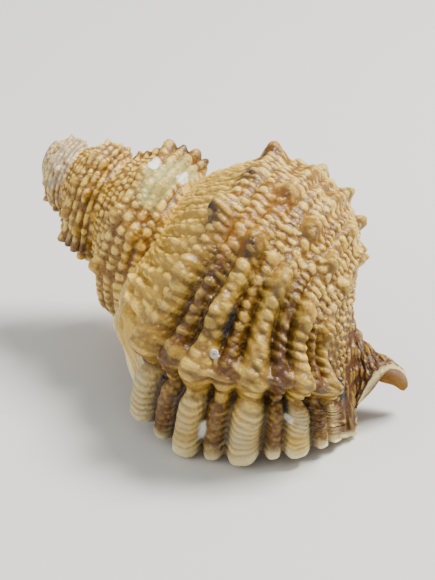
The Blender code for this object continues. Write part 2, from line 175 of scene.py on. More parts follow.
LEAN_STEPS = (1.9, 5.2)
LEAN_PSI = STEP_PSI - 20.0
COARSE_END_STEPS = (NECK_STEP - 1.7, NECK_STEP - 0.1)

# Knobs. A row of them is (row, height, psi of one knob).
KNOBS_PER_TURN = 14
SPIRE_KNOBS_PER_TURN = 10
SPIRE_KNOBS_PSI = -200.0
SPIRE_KNOB_SPREAD = 1.5
KNOB_HALF_ANGLE = 6.5
KNOB_HALF_STEP = 0.28
KNOB_ROWS = ((2.0, 3.3, 57.0), (3.05, 2.5, 62.0), (4.0, 2.1, 42.0), (4.9, 1.8, 46.0), (5.8, 1.4, 45.0))
KNOB_LEAST = 0.7
KNOB_VARIETY = 0.5
KNOB_SEED = 5
KNOBS_END_PSI = (64.0, 72.0)
KNOB_LOSS_UNDER = 0.8
WORN_KNOB = SimpleNamespace(psi=5.6, row=2.0, psi_reach=12.0, row_reach=0.7, loss=0.8)
BODY_SHARE = 0.72
CROWN_SHARE = 0.75
CROWN_HALF_STEP = 0.26
CROWN_POWER = 1.5
CROWN_HEIGHT = 1.05
CROWN_LOSS_ON_RIBS = 0.5
LOW_BACK = SimpleNamespace(psi=-12.0, row=2.9, psi_reach=9.0, row_reach=0.8, depth=1.6)

# The side that faces the aperture, and the part that the next whorl covers.
UNDERSIDE_END_PSI = (-165.0, -120.0)
COLUMELLA_PSI = LIP_PSI - 360.0
UNDERSIDE_START_PSI = (COLUMELLA_PSI, COLUMELLA_PSI + 28.0)
COVERED_PSI = (COLUMELLA_PSI + 5.0, COLUMELLA_PSI + 45.0)
UNCOVERED_STEPS = (0.0, 0.6)
SUTURE_STEPS = (0.0, 0.5)
UNDERSIDE_FLAT = 3.6
UNDERSIDE_STEP = 3.9
UNDERSIDE_HALF_STEP = 1.6

# Beaded cords. On the spire they are ropes, and a size is a share of full size.
BEAD_MM = 2.3
BEAD_HEIGHT = 0.95
BEAD_LEVEL = 0.2
BEAD_GROWTH_POWER = 0.85
BEAD_HALF_LENGTH = 0.46
BEAD_HALF_WIDTH = 0.42
BEAD_SHIFT = 0.3
BEAD_SHIFT_SIZES = (0.35, 0.65)
BEAD_WANDER = 0.9
BEAD_WANDER_PSI = 8.0
CORDS_PER_STEP = 2.0
CORD_START = 7.31
CORD_SPREAD = 0.05
FIRST_CORDS_ROW = 0.05
SECOND_CORDS_ROW = 0.3
SECOND_CORDS_SHARE = 0.8
SECOND_CORDS_LOSS = 0.75
SECOND_ROPE_SHARE = 0.45
FIRST_CORDS_SEED = 3
SECOND_CORDS_SEED = 17
EARLY_SIZES = (0.55, 0.64)
EARLY_BEAD_LOSS = 0.25
ROPE_WIDTH = 0.34
ROPE_LEVEL = 0.4
STRING_HEIGHT = 0.22
SPIRE_STRING_HEIGHT = 1.2
BEAD_LOSS_ON_FAN = 0.9
BEAD_LOSS_ON_RIBS = 0.2
BEAD_LOSS_UNDER = 0.5

# Beads round the neck and the canal, on a lattice of angles and rows.
NECK_BEAD_PSI = 6.5
NECK_BEAD_ROWS = 4.0
NECK_BEAD_SEED = 8
NECK_BEAD_STEPS = (NECK_STEP - 1.6, NECK_STEP - 1.2)
CANAL_BEAD_PSI = 27.0
CANAL_BEAD_ROWS = 3.2
CANAL_BEAD_SEED = 18
CANAL_BEAD_STEPS = (NECK_STEP - 0.4, NECK_STEP)
LATTICE_HALF_BEAD = 0.5
LATTICE_SHIFT = 0.5
LATTICE_LEAST = 0.55

# Ribs, the fan past them, the varix between them, and the rings, folds and lines of growth.
RIB_PSI = (28.0, 52.0)
RIB_FIRST_ROWS = (1.3, 1.8)
RIB_LAST_STEPS = (6.6, 7.4)
RIB_WIDTH = -0.16
FAN_PSI = (82.0, 88.0)
FAN_RIB_PSI = (STEP_PSI, STEP_PSI + 6.0)
FAN_RIB_WIDTH = -0.02
KNUCKLE_WIDTH = 0.4
KNUCKLE_WIDTH_PSI = 6.0
KNUCKLE_HEIGHT = 1.1
KNUCKLE_LEVEL = 0.3
KNUCKLE_BEFORE = 6.5
KNUCKLE_AFTER = 5.0
OLD_FLUTE_HEIGHT = 0.9
OLD_FLUTE_WIDTH = 1.3
OLD_FLUTE_FLAT = 1.6
OLD_FLUTE_STEPS = (1.4, 2.0)
OLD_FLUTE_SMOOTHING = 0.5
OLD_RIB_ROWS = (1.4, 1.8)
OLD_RIBS_BEFORE_PSI = 30.0
OLD_GROOVE_ROWS = (1.6, 2.0)
RING_PSI = 4.4
RING_HEIGHT = 0.55
RING_LEVEL = 0.3
RING_SEED = 71
FAN_RING_PSI = 2.3
FAN_RING_HEIGHT = 0.3
FAN_RING_LEVEL = 0.4
FAN_RING_SEED = 81
RING_WANDER = 2.2
RING_WANDER_SCALE = 1.9
RING_WANDER_RINGS = 4.0
RING_STRENGTH_SCALE = 1.2
RING_LEAST = 0.35
FOLD_PSI = 8.5
FOLD_HEIGHT = 1.5
FOLD_LEVEL = 0.2
FOLD_LEAN = 7.0
FOLD_WANDER = 4.0
FOLD_STEP = 0.85
FOLD_HALF_STEP = 0.55
FOLDS_PSI = (5.0, 50.0)
FOLD_WANDER_PSI = 14.0
FOLD_WANDER_SCALE = 0.9
FOLD_SEED = 51
LINE_HEIGHT = 0.12
FAN_LINE_HEIGHT = 0.3
LINE_LEVEL = 0.8
CLOSE_LINE_SHARE = 0.6
BROAD_LINE_SCALE = (1.1, 1.3)
CLOSE_LINE_SCALE = (2.3, 2.6)
BROAD_LINE_SEED = 41
CLOSE_LINE_SEED = 42
EDGE_ROUND = 0.9
EDGE_ROUND_PSI = 1.7
EDGE_ROUND_STEPS = 0.16
EDGE_FIRST_STEPS = (0.3, 1.0)
BARE_TIP_STEPS = (TIP_STEP - 0.12, TIP_STEP)

# The colours' masks: where they begin and end, and how they grow or fall.
GROOVE_FULL = 1.05
GROOVE_FALL = 1.6
GROOVE_ROWS = (1.8, 2.2)
GREY_FULL = 1.2
GREY_FALL = 1.4
BEAD_GAIN = 1.25
BEAD_COLOUR_LOSS_ON_FAN = 0.7
CROWN_GAIN = 1.1
# Painted shade on each knob's flank on the lip's side, where the knob shades the shell: how strongly it
# shows, how much less on beads, where it lies past the knob and how far it reaches, the last row at full
# strength and its share beyond, and the least size that has it.
PAINTED_SHADE_GAIN = 1.25
PAINTED_SHADE_LOSS_ON_BEADS = 0.5
KNOB_PAINTED_SHADE = SimpleNamespace(after=3.4, psi_reach=3.4, row_reach=0.24, last_row=3.5, beyond=0.45)
PAINTED_SHADE_SIZE = 0.55
RIM_PSI = (LIP_PSI - 4.5, LIP_PSI + 0.5)
RIM_STEPS = (TIP_STEP - 0.06, TIP_STEP)
RIM_RAGGED_PSI = 3.0
RIM_RAGGED_SCALE = (0.2, 3.0)
RIM_SEED = 7
NECK_COLOUR_STEPS = (6.6, 8.0)
NECK_COLOUR_PSI = (-150.0, -60.0)
NECK_COLOUR_LEAST = 0.45
RAMP_STEPS = (1.2, 2.0)
RAMP_PSI = (-60.0, 0.0)
APEX_PSI = (-1020.0, -940.0)
APEX_CHALK = 0.45
APEX_CHALK_PSI = 9.0
APEX_CHALK_SCALE = 1.5
APEX_SEED = 91

# Patches of colour, each as (psi, row, reach in psi, reach in rows).
CHALK_PATCHES = (
    (-351.0, 2.2, 8.0, 0.25),
    (-352.0, 3.6, 6.0, 0.25),
    (98.0, 3.36, 3.0, 0.06),
    (89.0, 4.7, 2.0, 0.08),
)
GREY_PATCHES = (
    (62.0, 4.85, 7.0, 0.14),
    (62.0, 3.3, 6.0, 0.12),
    (84.0, 4.7, 4.0, 0.3),
    (70.0, 6.6, 9.0, 0.3),
)
WASH_PATCHES = ((-338.0, 2.9, 24.0, 0.7), (-365.0, 3.6, 12.0, 0.5))
ORANGE_PATCHES = (
    (-311.0, 3.05, 5.0, 0.3),
    (-24.0, 2.0, 9.0, 0.35),
    (38.0, 2.6, 10.0, 0.4),
    (14.0, 3.0, 9.0, 0.4),
)
PATCH_EDGE = (0.25, 0.6)
PATCH_RAGGED = (0.7, 0.6)
PATCH_RAGGED_SCALE = (0.45, 5.0)
PATCH_SEED = 61

# Grids: ends in psi, steps or shares of the spire's rows, and the gaps between neighbours.
LAST_WHORL_PSI = (LIP_PSI, -55.0, -110.0, LIP_PSI - 360.0)
LAST_WHORL_PSI_GAPS = (0.66, 1.3, 2.2)
LAST_WHORL_STEPS = (0.0, NECK_STEP, TIP_STEP)
LAST_WHORL_STEP_GAPS = (0.048, 0.08)
SPIRE_END_PSI = LIP_PSI - 360.0 * TURNS
SPIRE_GRID_PSI = (LIP_PSI - 361.0, -613.0, SPIRE_END_PSI + 360.0, SPIRE_END_PSI)
SPIRE_PSI_GAPS = (1.4, 2.3, 3.6)
SPIRE_ROWS = 46
SPIRE_LAST_SHARE = 0.988
TIP_CONE = 2.2
TIP_RINGS = 3
SAME_PSI = 1e-6
HOLLOW_RINGS = 60
HOLLOW_OUTER_SIDES = 72
HOLLOW_INNER_SIDES = 24
CHANNEL_RINGS = 30
CHANNEL_SIDES = 48
SLOPE_STEP = 0.02
SLOPE_PSI = 20.0 * SLOPE_STEP

# The worm tube: radii of the coil and of the tube, and turns.
WORM_PLACE = (72.0, 3.35)
WORM_COIL_RADIUS = 0.85
WORM_COIL_START = 0.28
WORM_TUBE_RADIUS = 0.36
WORM_TUBE_START = 0.55
WORM_TURNS = 2.0
WORM_RISE = 0.25
WORM_LIFT = 1.3
WORM_RINGS = 90
WORM_SIDES = 14

# How strongly each colour lies over those before it. LEAST and MORE are what a cloudy noise varies between.
LATE_SIZES = (0.45, 0.62)
BEAD_EASE = (0.15, 0.62)
GOLD_SHARE = 0.7
PIT_LEAST = 0.12
PIT_MORE = 0.7
PUSTULE_CREAM = 0.22
TROUGH_STRING = 0.9
TROUGH_LATE = 0.95
BEAD_TAN = 0.6
BEAD_WHITE = 0.2
CROWN_PALE = 0.45
NARROW_LEAST = 0.35
NARROW_MORE = 0.6
NARROW_LOSS_ON_FAN = 0.5
RING_EDGE = 0.95
RING_BROWN = 0.95
RIB_CREST = 0.35
CREST_LEAST = 0.25
CREST_MORE = 0.6
CREST_LOSS_ON_NARROW = 0.7
RAMP_CREAM = 0.35
NECK_GOLD = 0.8
NECK_EDGE = 0.95
NECK_BROWN = 0.95
FLANK_FULL = 1.25
FLANK_LOSS_ON_BEADS = 0.5
WASH_SHARE = 0.6
ORANGE_SHARE = 0.3
RIM_YELLOW = 0.6
GROOVE_MORE_ON_FAN = 0.15

CREAM = (0.86, 0.56, 0.075, 1.0)
WHITE = (0.90, 0.78, 0.42, 1.0)
GOLD = (0.19, 0.086, 0.002, 1.0)
OCHRE = (0.27, 0.120, 0.003, 1.0)
TAN = (0.42, 0.20, 0.012, 1.0)
BROWN = (0.075, 0.023, 0.002, 1.0)
UMBER = (0.030, 0.009, 0.002, 1.0)
BLACK_BROWN = (0.006, 0.003, 0.002, 1.0)
RUST = (0.42, 0.15, 0.008, 1.0)
YELLOW = (0.66, 0.38, 0.03, 1.0)
GREENISH = (0.56, 0.52, 0.18, 1.0)
GREY = (0.08, 0.07, 0.06, 1.0)
CHALK = (0.88, 0.86, 0.74, 1.0)
DULL_CHALK = (0.45, 0.42, 0.36, 1.0)
PORCELAIN = (0.50, 0.27, 0.05, 1.0)
APRICOT = (0.25, 0.095, 0.008, 1.0)
PALE_FLOOR = (0.72, 0.72, 0.69, 1.0)
SKY = (0.95, 0.97, 1.0, 1.0)
SKY_STRENGTH = 0.6

# Numbers of the Mix node's sockets for colours: share, first and second colour, and the result.
MIX_COLOUR_INPUTS = (0, 6, 7)
MIX_COLOUR_OUTPUT = 2

# Lights: place in metres, size in metres, power in watts, colour.
WINDOW = ((0.25, 0.35, 0.75), 0.35, 16.0, (1.0, 0.98, 0.94))
FRONT_FILL = ((-0.4, -0.7, 0.5), 0.6, 3.0, (1.0, 0.98, 0.95))
FLOOR_REACH = 3.0

# Edges sharper than this, in degrees, stay sharp.
SHELL_SMOOTH_ANGLE = 75.0
WORM_SMOOTH_ANGLE = 60.0

# The camera: angles in degrees, places in metres, lens and sensor in millimetres.
CAMERA_AZIMUTH = 34.95
CAMERA_ELEVATION = 27.74
CAMERA_ROLL = -1.37
CAMERA_DISTANCE = 0.3894
CAMERA_AIM = (0.00246, 0.00101, 0.01977)
CAMERA_LENS = 114.1
CAMERA_SENSOR = 36.0
CAMERA_NEAR = 0.01


def smooth(value, low, high):
    """Cubic ease from 0 at low to 1 at high."""
    x = np.clip((value - low) / (high - low), 0.0, 1.0)
    return x * x * (3 - 2 * x)


def between(value, rise, fall):
    """1 between two stretches, easing up from 0 over the first and down to 0 over the second."""
    return smooth(value, *rise) * (1 - smooth(value, *fall))


def bump(distance, half_width):
    """Bell curve: 1 at no distance, falling to 1/e at the half width."""
    return np.exp(-((distance / half_width) ** 2))


def plateau(distance, half_width):
    """Flat-topped bell."""
    return np.exp(-((distance / half_width) ** 4))


def share_of(values):
    """Values cut off below 0 and above 1."""
    return np.clip(values, 0, 1)


def growth(psi):
    """Size as a share of full size: GROWTH times for each turn, SPIRE_GROWTH times on the early whorls."""
    late = GROWTH ** ((np.maximum(psi, SPIRE_PSI) - FULL_SIZE_PSI) / 360.0)
    return late * SPIRE_GROWTH ** (np.minimum(psi - SPIRE_PSI, 0.0) / 360.0)


def scatter(first, second, seed):
    """A number from 0 to 1 for each pair of whole numbers: the fraction of a large sine."""
    value = np.sin(first * 12.9898 + second * 78.233 + seed * 37.719) * 43758.5453
    return value - np.floor(value)


def drift(x, y, seed):
    """Smooth noise from 0 to 1: scattered values on a unit lattice, eased between neighbours."""
    x0, y0 = np.floor(x), np.floor(y)
    fx, fy = x - x0, y - y0
    fx, fy = fx * fx * (3 - 2 * fx), fy * fy * (3 - 2 * fy)
    low = scatter(x0, y0, seed) * (1 - fx) + scatter(x0 + 1, y0, seed) * fx
    high = scatter(x0, y0 + 1, seed) * (1 - fx) + scatter(x0 + 1, y0 + 1, seed) * fx
    return low * (1 - fy) + high * fy


def catmull(knots, step):
    """A smooth curve through each place's own row of knots, read at a step counted from the first."""
    first = 2 * knots[..., :1, :] - knots[..., 1:2, :]
    last = 2 * knots[..., -1:, :] - knots[..., -2:-1, :]
    padded = np.concatenate([first, knots, last], axis=-2)
    cell = np.clip(np.floor(step).astype(int), 0, knots.shape[-2] - 2)
    u = (step - cell)[..., None]
    picked = [np.take_along_axis(padded, (cell + k)[..., None, None], axis=-2)[..., 0, :] for k in range(4)]
    before, start, end, after = picked
    bend = 2 * before - 5 * start + 4 * end - after
    twist = 3 * start - before - 3 * end + after
    return 0.5 * (2 * start + (end - before) * u + bend * u**2 + twist * u**3)


def suture_step(psi):
    """Where on the whorl before the suture runs: it climbs towards the spire as it nears the lip."""
    return SUTURE_STEP - SUTURE_CLIMB * smooth(psi, CLIMB_PSI, LIP_PSI)


def whorl_rows(psi):
    """The rows of the whorl at each psi, as (axial, radius): the profile scaled by the growth.

    The early whorls are drawn out along the axis, and near the lip the first rows are pulled to the spire.
    """
    size = growth(psi)[..., None]
    rows = np.array([RAMP, *PROFILE_ROWS])
    pull = np.zeros(len(rows))
    pull[1:4] = RAMP_PULL, SHOULDER_PULL, SECOND_ROW_PULL
    drawn = SPIRE_STRETCH * np.minimum(size - growth(np.array(SPIRE_PSI)), 0.0)
    axial = drawn + (rows[:, 0] - pull * smooth(psi, CLIMB_PSI, LIP_PSI)[..., None]) * size
    return np.stack([axial, rows[:, 1] * size], -1)


def profile(psi, step):
    """The whorl's outline from the suture, which lies on the whorl before, to the neck."""
    knots = whorl_rows(psi)
    knots[..., 0, :] = catmull(whorl_rows(psi - 360.0), suture_step(psi))
    return catmull(knots, step)


def polar(axial, radius, psi):
    """A point from its distance along the coiling axis, its radius and its angle."""
    angle = np.radians(psi)
    return np.stack([axial, -radius * np.sin(angle), radius * np.cos(angle)], -1)


def canal_rim(psi):
    """The canal's end: the last turn mapped onto an ellipse with a gap, its late part drawn wider."""
    share = (np.maximum(LIP_PSI - psi, 0.0) / 360.0) ** CANAL_EASE
    angle = np.radians(CANAL_LIP_LEG - (CANAL_LIP_LEG + CANAL_FAR_LEG) * share)
    aside = -CANAL_HALF_WIDTH * np.sin(angle)
    x = CANAL_END[0] + CANAL_SLANT * aside - CANAL_RISE * np.cos(angle) ** 2
    z = CANAL_END[2] + CANAL_HALF_HEIGHT * np.cos(angle)
    return np.stack([x, CANAL_END[1] + aside, z], -1)


def plain(psi, step):
    """The whorl without sculpture: the coiled profile, run on by a cubic into the canal's rim."""
    size = growth(psi)
    on_profile = profile(psi, np.minimum(step, NECK_STEP))
    coiled = polar(on_profile[..., 0], on_profile[..., 1], psi)
    start = polar(NECK[0] * size, NECK[1] * size, psi)
    end = canal_rim(psi)
    reach = np.linalg.norm(end - start, axis=-1, keepdims=True)
    slope = polar(np.full_like(size, NECK_SLOPE), np.full_like(size, -NECK_SLOPE), psi)
    inward = slope * np.minimum(reach, NECK_BEND * size[..., None])
    forward = np.zeros_like(end)
    forward[..., 0] = CANAL_FORWARD * reach[..., 0]
    u = np.clip((step - NECK_STEP) / (TIP_STEP - NECK_STEP), 0.0, 1.0)[..., None]
    canal = (
        (2 * u**3 - 3 * u**2 + 1) * start
        + (u**3 - 2 * u**2 + u) * inward
        + (3 * u**2 - 2 * u**3) * end
        + (u**3 - u**2) * forward
    )
    return np.where(step[..., None] <= NECK_STEP, coiled, canal)


def row_at(psi, step):
    """The row of sculpture at a place: the rows splay towards the canal as they near the lip."""
    return step - np.interp(step, SPLAY_STEPS, SPLAYS) * smooth(psi, *SPLAY_PSI)


def narrow_ridges(row, width=1.0):
    """The narrow cords between the rows of knobs, 0 to 1."""
    return sum(plateau(row - middle, MINOR_RIDGE_HALF_STEP * width) for middle in MINOR_RIDGE_STEPS)


def ridges(row, width=1.0):
    """Raised cords, 0 to 1: broad at the rows of knobs, narrow between them. They end as the lip's flutes."""
    major = sum(plateau(row - middle, RIDGE_HALF_STEP * width) for middle in RIDGE_STEPS)
    return major + MINOR_RIDGE_SHARE * narrow_ridges(row, width)


def lip_lean(step):
    """How far ahead of its middle the lip runs at each step: furthest on the spire's side."""
    return LIP_LEAN * (LEAN_MIDDLE_STEP - np.clip(step, *LEAN_STEPS))


def leant(psi, step):
    """Psi counted from a line that leans as the lip does, so that old lips and the last one run alike."""
    return psi - lip_lean(step) * (1 - smooth(psi, LEAN_PSI, LIP_PSI))


def old_lips(at):
    """The lip's varix and the former ones at a leant psi: how much of one a place is, and its height.

    There is one every VARIX_EVERY degrees, some of them late by LIP_LATE. Each is a bell that falls faster on
    the side of growth. Heights are at full size.
    """
    share, height = np.zeros_like(at), np.zeros_like(at)
    for number, (tall, late) in enumerate(zip(LIP_HEIGHTS, LIP_LATE)):
        due = VARIX_PSI - number * VARIX_EVERY
        off = at - (due + late)
        own = bump(off, np.where(off < 0, VARIX_BEFORE, VARIX_AFTER))
        share = share + own
        height = height + own * tall / growth(due)
    return share, height


def underside(psi):
    """1 on the side of the last whorl that faces the aperture, 0 on its back."""
    return between(psi, UNDERSIDE_START_PSI, UNDERSIDE_END_PSI)


def knobs(psi, row):
    """The rows of large knobs: their height, their crowns, and painted shade on the flank on the lip's side.

    A knob is the product of a bell along the whorl and one across it, and its crown a flatter, narrower bell.
    """
    height, crown, flank = np.zeros_like(psi), np.zeros_like(psi), np.zeros_like(psi)
    on_body = psi > SPIRE_KNOBS_PSI
    every = 360.0 / np.where(on_body, KNOBS_PER_TURN, SPIRE_KNOBS_PER_TURN)
    half_angle = KNOB_HALF_ANGLE * every / every.min()
    half_row = KNOB_HALF_STEP * np.where(on_body, 1.0, SPIRE_KNOB_SPREAD)
    for middle, tall, phase in KNOB_ROWS:
        along = (psi - phase + every / 2) % every - every / 2
        across = row - middle
        own = KNOB_LEAST + KNOB_VARIETY * scatter(np.floor((psi - phase) / every + 0.5), middle, KNOB_SEED)
        height = height + BODY_SHARE * tall * own * bump(along, half_angle) * bump(across, half_row)
        off_crown = (along / (CROWN_SHARE * half_angle)) ** 2 + (across / CROWN_HALF_STEP) ** 2
        crown = crown + own * np.exp(-(off_crown**CROWN_POWER))
        # Painted shade: a dark spot just past each knob on the lip's side, where the knob shades the shell.
        painted_shade = bump(along - KNOB_PAINTED_SHADE.after, KNOB_PAINTED_SHADE.psi_reach) * bump(across, KNOB_PAINTED_SHADE.row_reach)
        painted_shade = painted_shade * smooth(own, KNOB_LEAST, 1.0)
        flank = np.maximum(flank, painted_shade * (1.0 if middle < KNOB_PAINTED_SHADE.last_row else KNOB_PAINTED_SHADE.beyond))
    worn = bump(psi - WORN_KNOB.psi, WORN_KNOB.psi_reach) * bump(row - WORN_KNOB.row, WORN_KNOB.row_reach)
    kept = (1 - WORN_KNOB.loss * worn) * (1 - smooth(psi, *KNOBS_END_PSI))
    kept = kept * (1 - KNOB_LOSS_UNDER * underside(psi))
    return height * kept, crown * kept, flank * (growth(psi) > PAINTED_SHADE_SIZE)


def rib_width(psi, step):
    """The flutes' width, as a share: slender on the back, swollen at the lip's varix, full on the fan."""
    at = leant(psi, step)
    on_fan = smooth(at, *FAN_RIB_PSI)
    swollen = KNUCKLE_WIDTH * bump(at - VARIX_PSI, KNUCKLE_WIDTH_PSI)
    return 1 + smooth(psi, *FLUTES_PSI) * (RIB_WIDTH * (1 - on_fan) + FAN_RIB_WIDTH * on_fan + swollen)


def coarse(psi, step):
    """The coarse sculpture, close to the solids' own: its height, the knobs' crowns and the painted shade on
    their flanks.

    The height adds cords, flutes, knobs, old lips and the flared lip, in millimetres at full size.
    """
    row = row_at(psi, step)
    near_lip = smooth(psi, *FLUTES_PSI) * smooth(step, *FLUTES_FIRST_STEPS)
    cord = ridges(row, rib_width(psi, step))
    flute = FLUTE_HEIGHT * (1 - (1 - LOW_FLUTE_SHARE) * smooth(step, *LOW_FLUTES))
    height = CORD_HEIGHT * (1 - near_lip) * cord + flute * near_lip * (cord - GROOVE_LEVEL)
    knob_height, crown, flank = knobs(psi, row)
    pressed = UNDERSIDE_FLAT * underside(psi) * bump(step - UNDERSIDE_STEP, UNDERSIDE_HALF_STEP)
    height = height + knob_height - pressed
    at = leant(psi, step)
    _, lip_height = old_lips(at)
    height = height + lip_height * (VARIX_PLAIN_SHARE + (1 - VARIX_PLAIN_SHARE) * cord)
    fan = np.clip((at - STEP_PSI) / (LIP_PSI - STEP_PSI), 0.0, FLARE_MOST)
    height = height + FLARE * fan**FLARE_POWER - STEP_DEPTH * bump(at - STEP_PSI, STEP_HALF_PSI)
    return height, crown, flank


def bare(psi, step):
    """1 where sculpture shows, 0 at the suture and where the next whorl covers it."""
    covered = 1 - smooth(psi, *COVERED_PSI)
    next_suture = suture_step(np.minimum(psi + 360.0, LIP_PSI))
    beside_suture = 1 - smooth(np.abs(step - next_suture), *UNCOVERED_STEPS)
    return smooth(step, *SUTURE_STEPS) * (1 - covered * beside_suture)


def beads(psi, step, first, seed):
    """Beads strung on spiral cords, and the cords: a dome round the nearest bead, each of its own size.

    The cords begin at the row first. Along a cord the beads are counted by a power of the growth, so that
    they keep nearly one size on every turn. Besides dome and cord it gives the place across the cord, in
    cords, and a rope that swells at each bead.
    """
    cord = np.round((step - first) * CORDS_PER_STEP)
    across = (step - first) * CORDS_PER_STEP - cord
    count = SHOULDER_ROW[1] / BEAD_MM * 2 * np.pi / np.log(GROWTH) / BEAD_GROWTH_POWER
    along = count * growth(psi) ** BEAD_GROWTH_POWER + CORD_START * scatter(cord, 0 * cord, seed)
    along = along + BEAD_WANDER * drift(psi / BEAD_WANDER_PSI, cord, seed + 1)
    bead = np.round(along)
    size = 0.5 + 0.5 * scatter(bead, cord, seed + 2)
    shift = BEAD_SHIFT * (scatter(bead, cord, seed + 3) - 0.5) * smooth(growth(psi), *BEAD_SHIFT_SIZES)
    away = ((along - bead) / BEAD_HALF_LENGTH) ** 2 + ((across - shift) / BEAD_HALF_WIDTH) ** 2
    dome = share_of(1 - away / size**2) * size
    wave = (0.5 + 0.5 * np.cos(2 * np.pi * (along - bead))) * size * plateau(across, ROPE_WIDTH)
    return dome, np.exp(-(across**2) / CORD_SPREAD), across, wave


def beaded_cords(psi, row, early):
    """Beads and strings, 0 to 1: beaded cords, and a second, finer set between them on the later whorls.

    On the spire, where early is 1, the first cords are flat-topped ropes, swollen at each bead.
    """
    first, first_cord, across, wave = beads(psi, row, FIRST_CORDS_ROW, FIRST_CORDS_SEED)
    second, second_cord, _, _ = beads(psi, row, SECOND_CORDS_ROW, SECOND_CORDS_SEED)
    second_in = SECOND_CORDS_SHARE * (1 - SECOND_CORDS_LOSS * early)
    bead = np.maximum(first * (1 - early) + early * wave, second_in * second)
    string = np.maximum(first_cord, second_in * second_cord)
    rope = np.maximum(plateau(across, ROPE_WIDTH), SECOND_ROPE_SHARE * second_cord)
    return bead, string * (1 - early) + early * rope


def lattice_beads(psi, step, every, rows, seed):
    """Beads round the neck and canal: domes on a lattice of angle and step, each row set off by itself."""
    row = np.round(step * rows)
    along = psi / every + LATTICE_SHIFT * (row % 2) + LATTICE_SHIFT * scatter(row, 0 * row, seed)
    bead = np.round(along)
    size = LATTICE_LEAST + (1 - LATTICE_LEAST) * scatter(bead, row, seed + 1)
    away = ((along - bead) / LATTICE_HALF_BEAD) ** 2 + ((step * rows - row) / LATTICE_HALF_BEAD) ** 2
    return share_of(1 - away / size**2) * size


def rings(psi, step, every, seed):
    """Rings across the spiral, 0 to 1: waves in psi that wander with the step, each of its own strength."""
    wander = drift(step * RING_WANDER_SCALE, psi / (RING_WANDER_RINGS * every), seed)
    phase = psi / every + RING_WANDER * wander
    strength = RING_LEAST + (1 - RING_LEAST) * drift(psi / every, step * RING_STRENGTH_SCALE, seed + 1)
    return strength * (0.5 + 0.5 * np.cos(2 * np.pi * phase))


def folds(psi, step):
    """Wavy folds on the ramp beside the suture, running back from the lip, 0 to 1."""
    wander = drift(psi / FOLD_WANDER_PSI, step * FOLD_WANDER_SCALE, FOLD_SEED)
    lean = psi + FOLD_LEAN * step + FOLD_WANDER * wander
    wave = 0.5 + 0.5 * np.cos(2 * np.pi * lean / FOLD_PSI)
    return wave * bump(step - FOLD_STEP, FOLD_HALF_STEP) * smooth(psi, *FOLDS_PSI)


def growth_lines(psi, row):
    """Uneven lines of growth: two sizes of smooth noise, 0 to 1.6."""
    broad = drift(psi * BROAD_LINE_SCALE[0], row * BROAD_LINE_SCALE[1], BROAD_LINE_SEED)
    close = drift(psi * CLOSE_LINE_SCALE[0], row * CLOSE_LINE_SCALE[1], CLOSE_LINE_SEED)
    return broad + CLOSE_LINE_SHARE * close


def patch(psi, row, patches):
    """How much of a place lies in the patches, with a ragged edge."""
    noise = drift(psi * PATCH_RAGGED_SCALE[0], row * PATCH_RAGGED_SCALE[1], PATCH_SEED)
    ragged = PATCH_RAGGED[0] + PATCH_RAGGED[1] * noise
    inside = 0.0
    for middle_psi, middle_row, psi_reach, row_reach in patches:
        across = bump((row - middle_row) * ragged, row_reach)
        inside = inside + bump((psi - middle_psi) * ragged, psi_reach) * across
    return smooth(inside, *PATCH_EDGE)


def forms(psi, step):
    """What relief and colours share at each place, by name: all are 0 to 1 but the coarse height."""
    f = SimpleNamespace(psi=psi, step=step, size=growth(psi), row=row_at(psi, step), at=leant(psi, step))
    f.coarse_height, f.crown, f.flank = coarse(psi, step)
    f.early = 1 - smooth(f.size, *EARLY_SIZES)
    f.neck = smooth(step, *NECK_BEAD_STEPS)
    f.canal = smooth(step, *CANAL_BEAD_STEPS)
    f.before_neck = 1 - smooth(step, *COARSE_END_STEPS)
    f.bead, f.string = beaded_cords(psi, f.row, f.early)
    neck_beads = lattice_beads(psi, step, NECK_BEAD_PSI, NECK_BEAD_ROWS, NECK_BEAD_SEED)
    canal_beads = lattice_beads(psi, step, CANAL_BEAD_PSI, CANAL_BEAD_ROWS, CANAL_BEAD_SEED)
    f.bead = f.bead * (1 - f.neck) + f.neck * neck_beads
    f.bead = f.bead * (1 - f.canal) + f.canal * canal_beads
    width = rib_width(psi, step)
    f.cord = ridges(f.row, width)
    f.narrow = narrow_ridges(f.row, width)
    f.near_lip = smooth(psi, *FLUTES_PSI) * between(step, *FINE_FLUTE_STEPS)
    f.old_lip, _ = old_lips(f.at)
    f.on_fan = smooth(f.at, *FAN_PSI) * (1 - f.canal)
    rib_steps = smooth(f.row, *RIB_FIRST_ROWS) * (1 - smooth(step, *RIB_LAST_STEPS))
    f.on_rib = smooth(psi, *RIB_PSI) * (1 - f.on_fan) * rib_steps
    f.rib_ring = rings(psi, f.row, RING_PSI, RING_SEED)
    f.fan_ring = rings(psi, f.row, FAN_RING_PSI, FAN_RING_SEED)
    return f


def beaded_height(f):
    """Beads and the cords that carry them, lower on the fan, on the ribs and underneath."""
    string_height = STRING_HEIGHT + (SPIRE_STRING_HEIGHT - STRING_HEIGHT) * f.early
    strung = string_height * (1 - f.neck) * (f.string - ROPE_LEVEL * f.early)
    height = BEAD_HEIGHT * f.bead * (1 - EARLY_BEAD_LOSS * f.early) + strung - BEAD_LEVEL
    height = height * (1 - BEAD_LOSS_ON_FAN * f.on_fan) * (1 - BEAD_LOSS_ON_RIBS * f.on_rib)
    return height * (1 - BEAD_LOSS_UNDER * underside(f.psi))


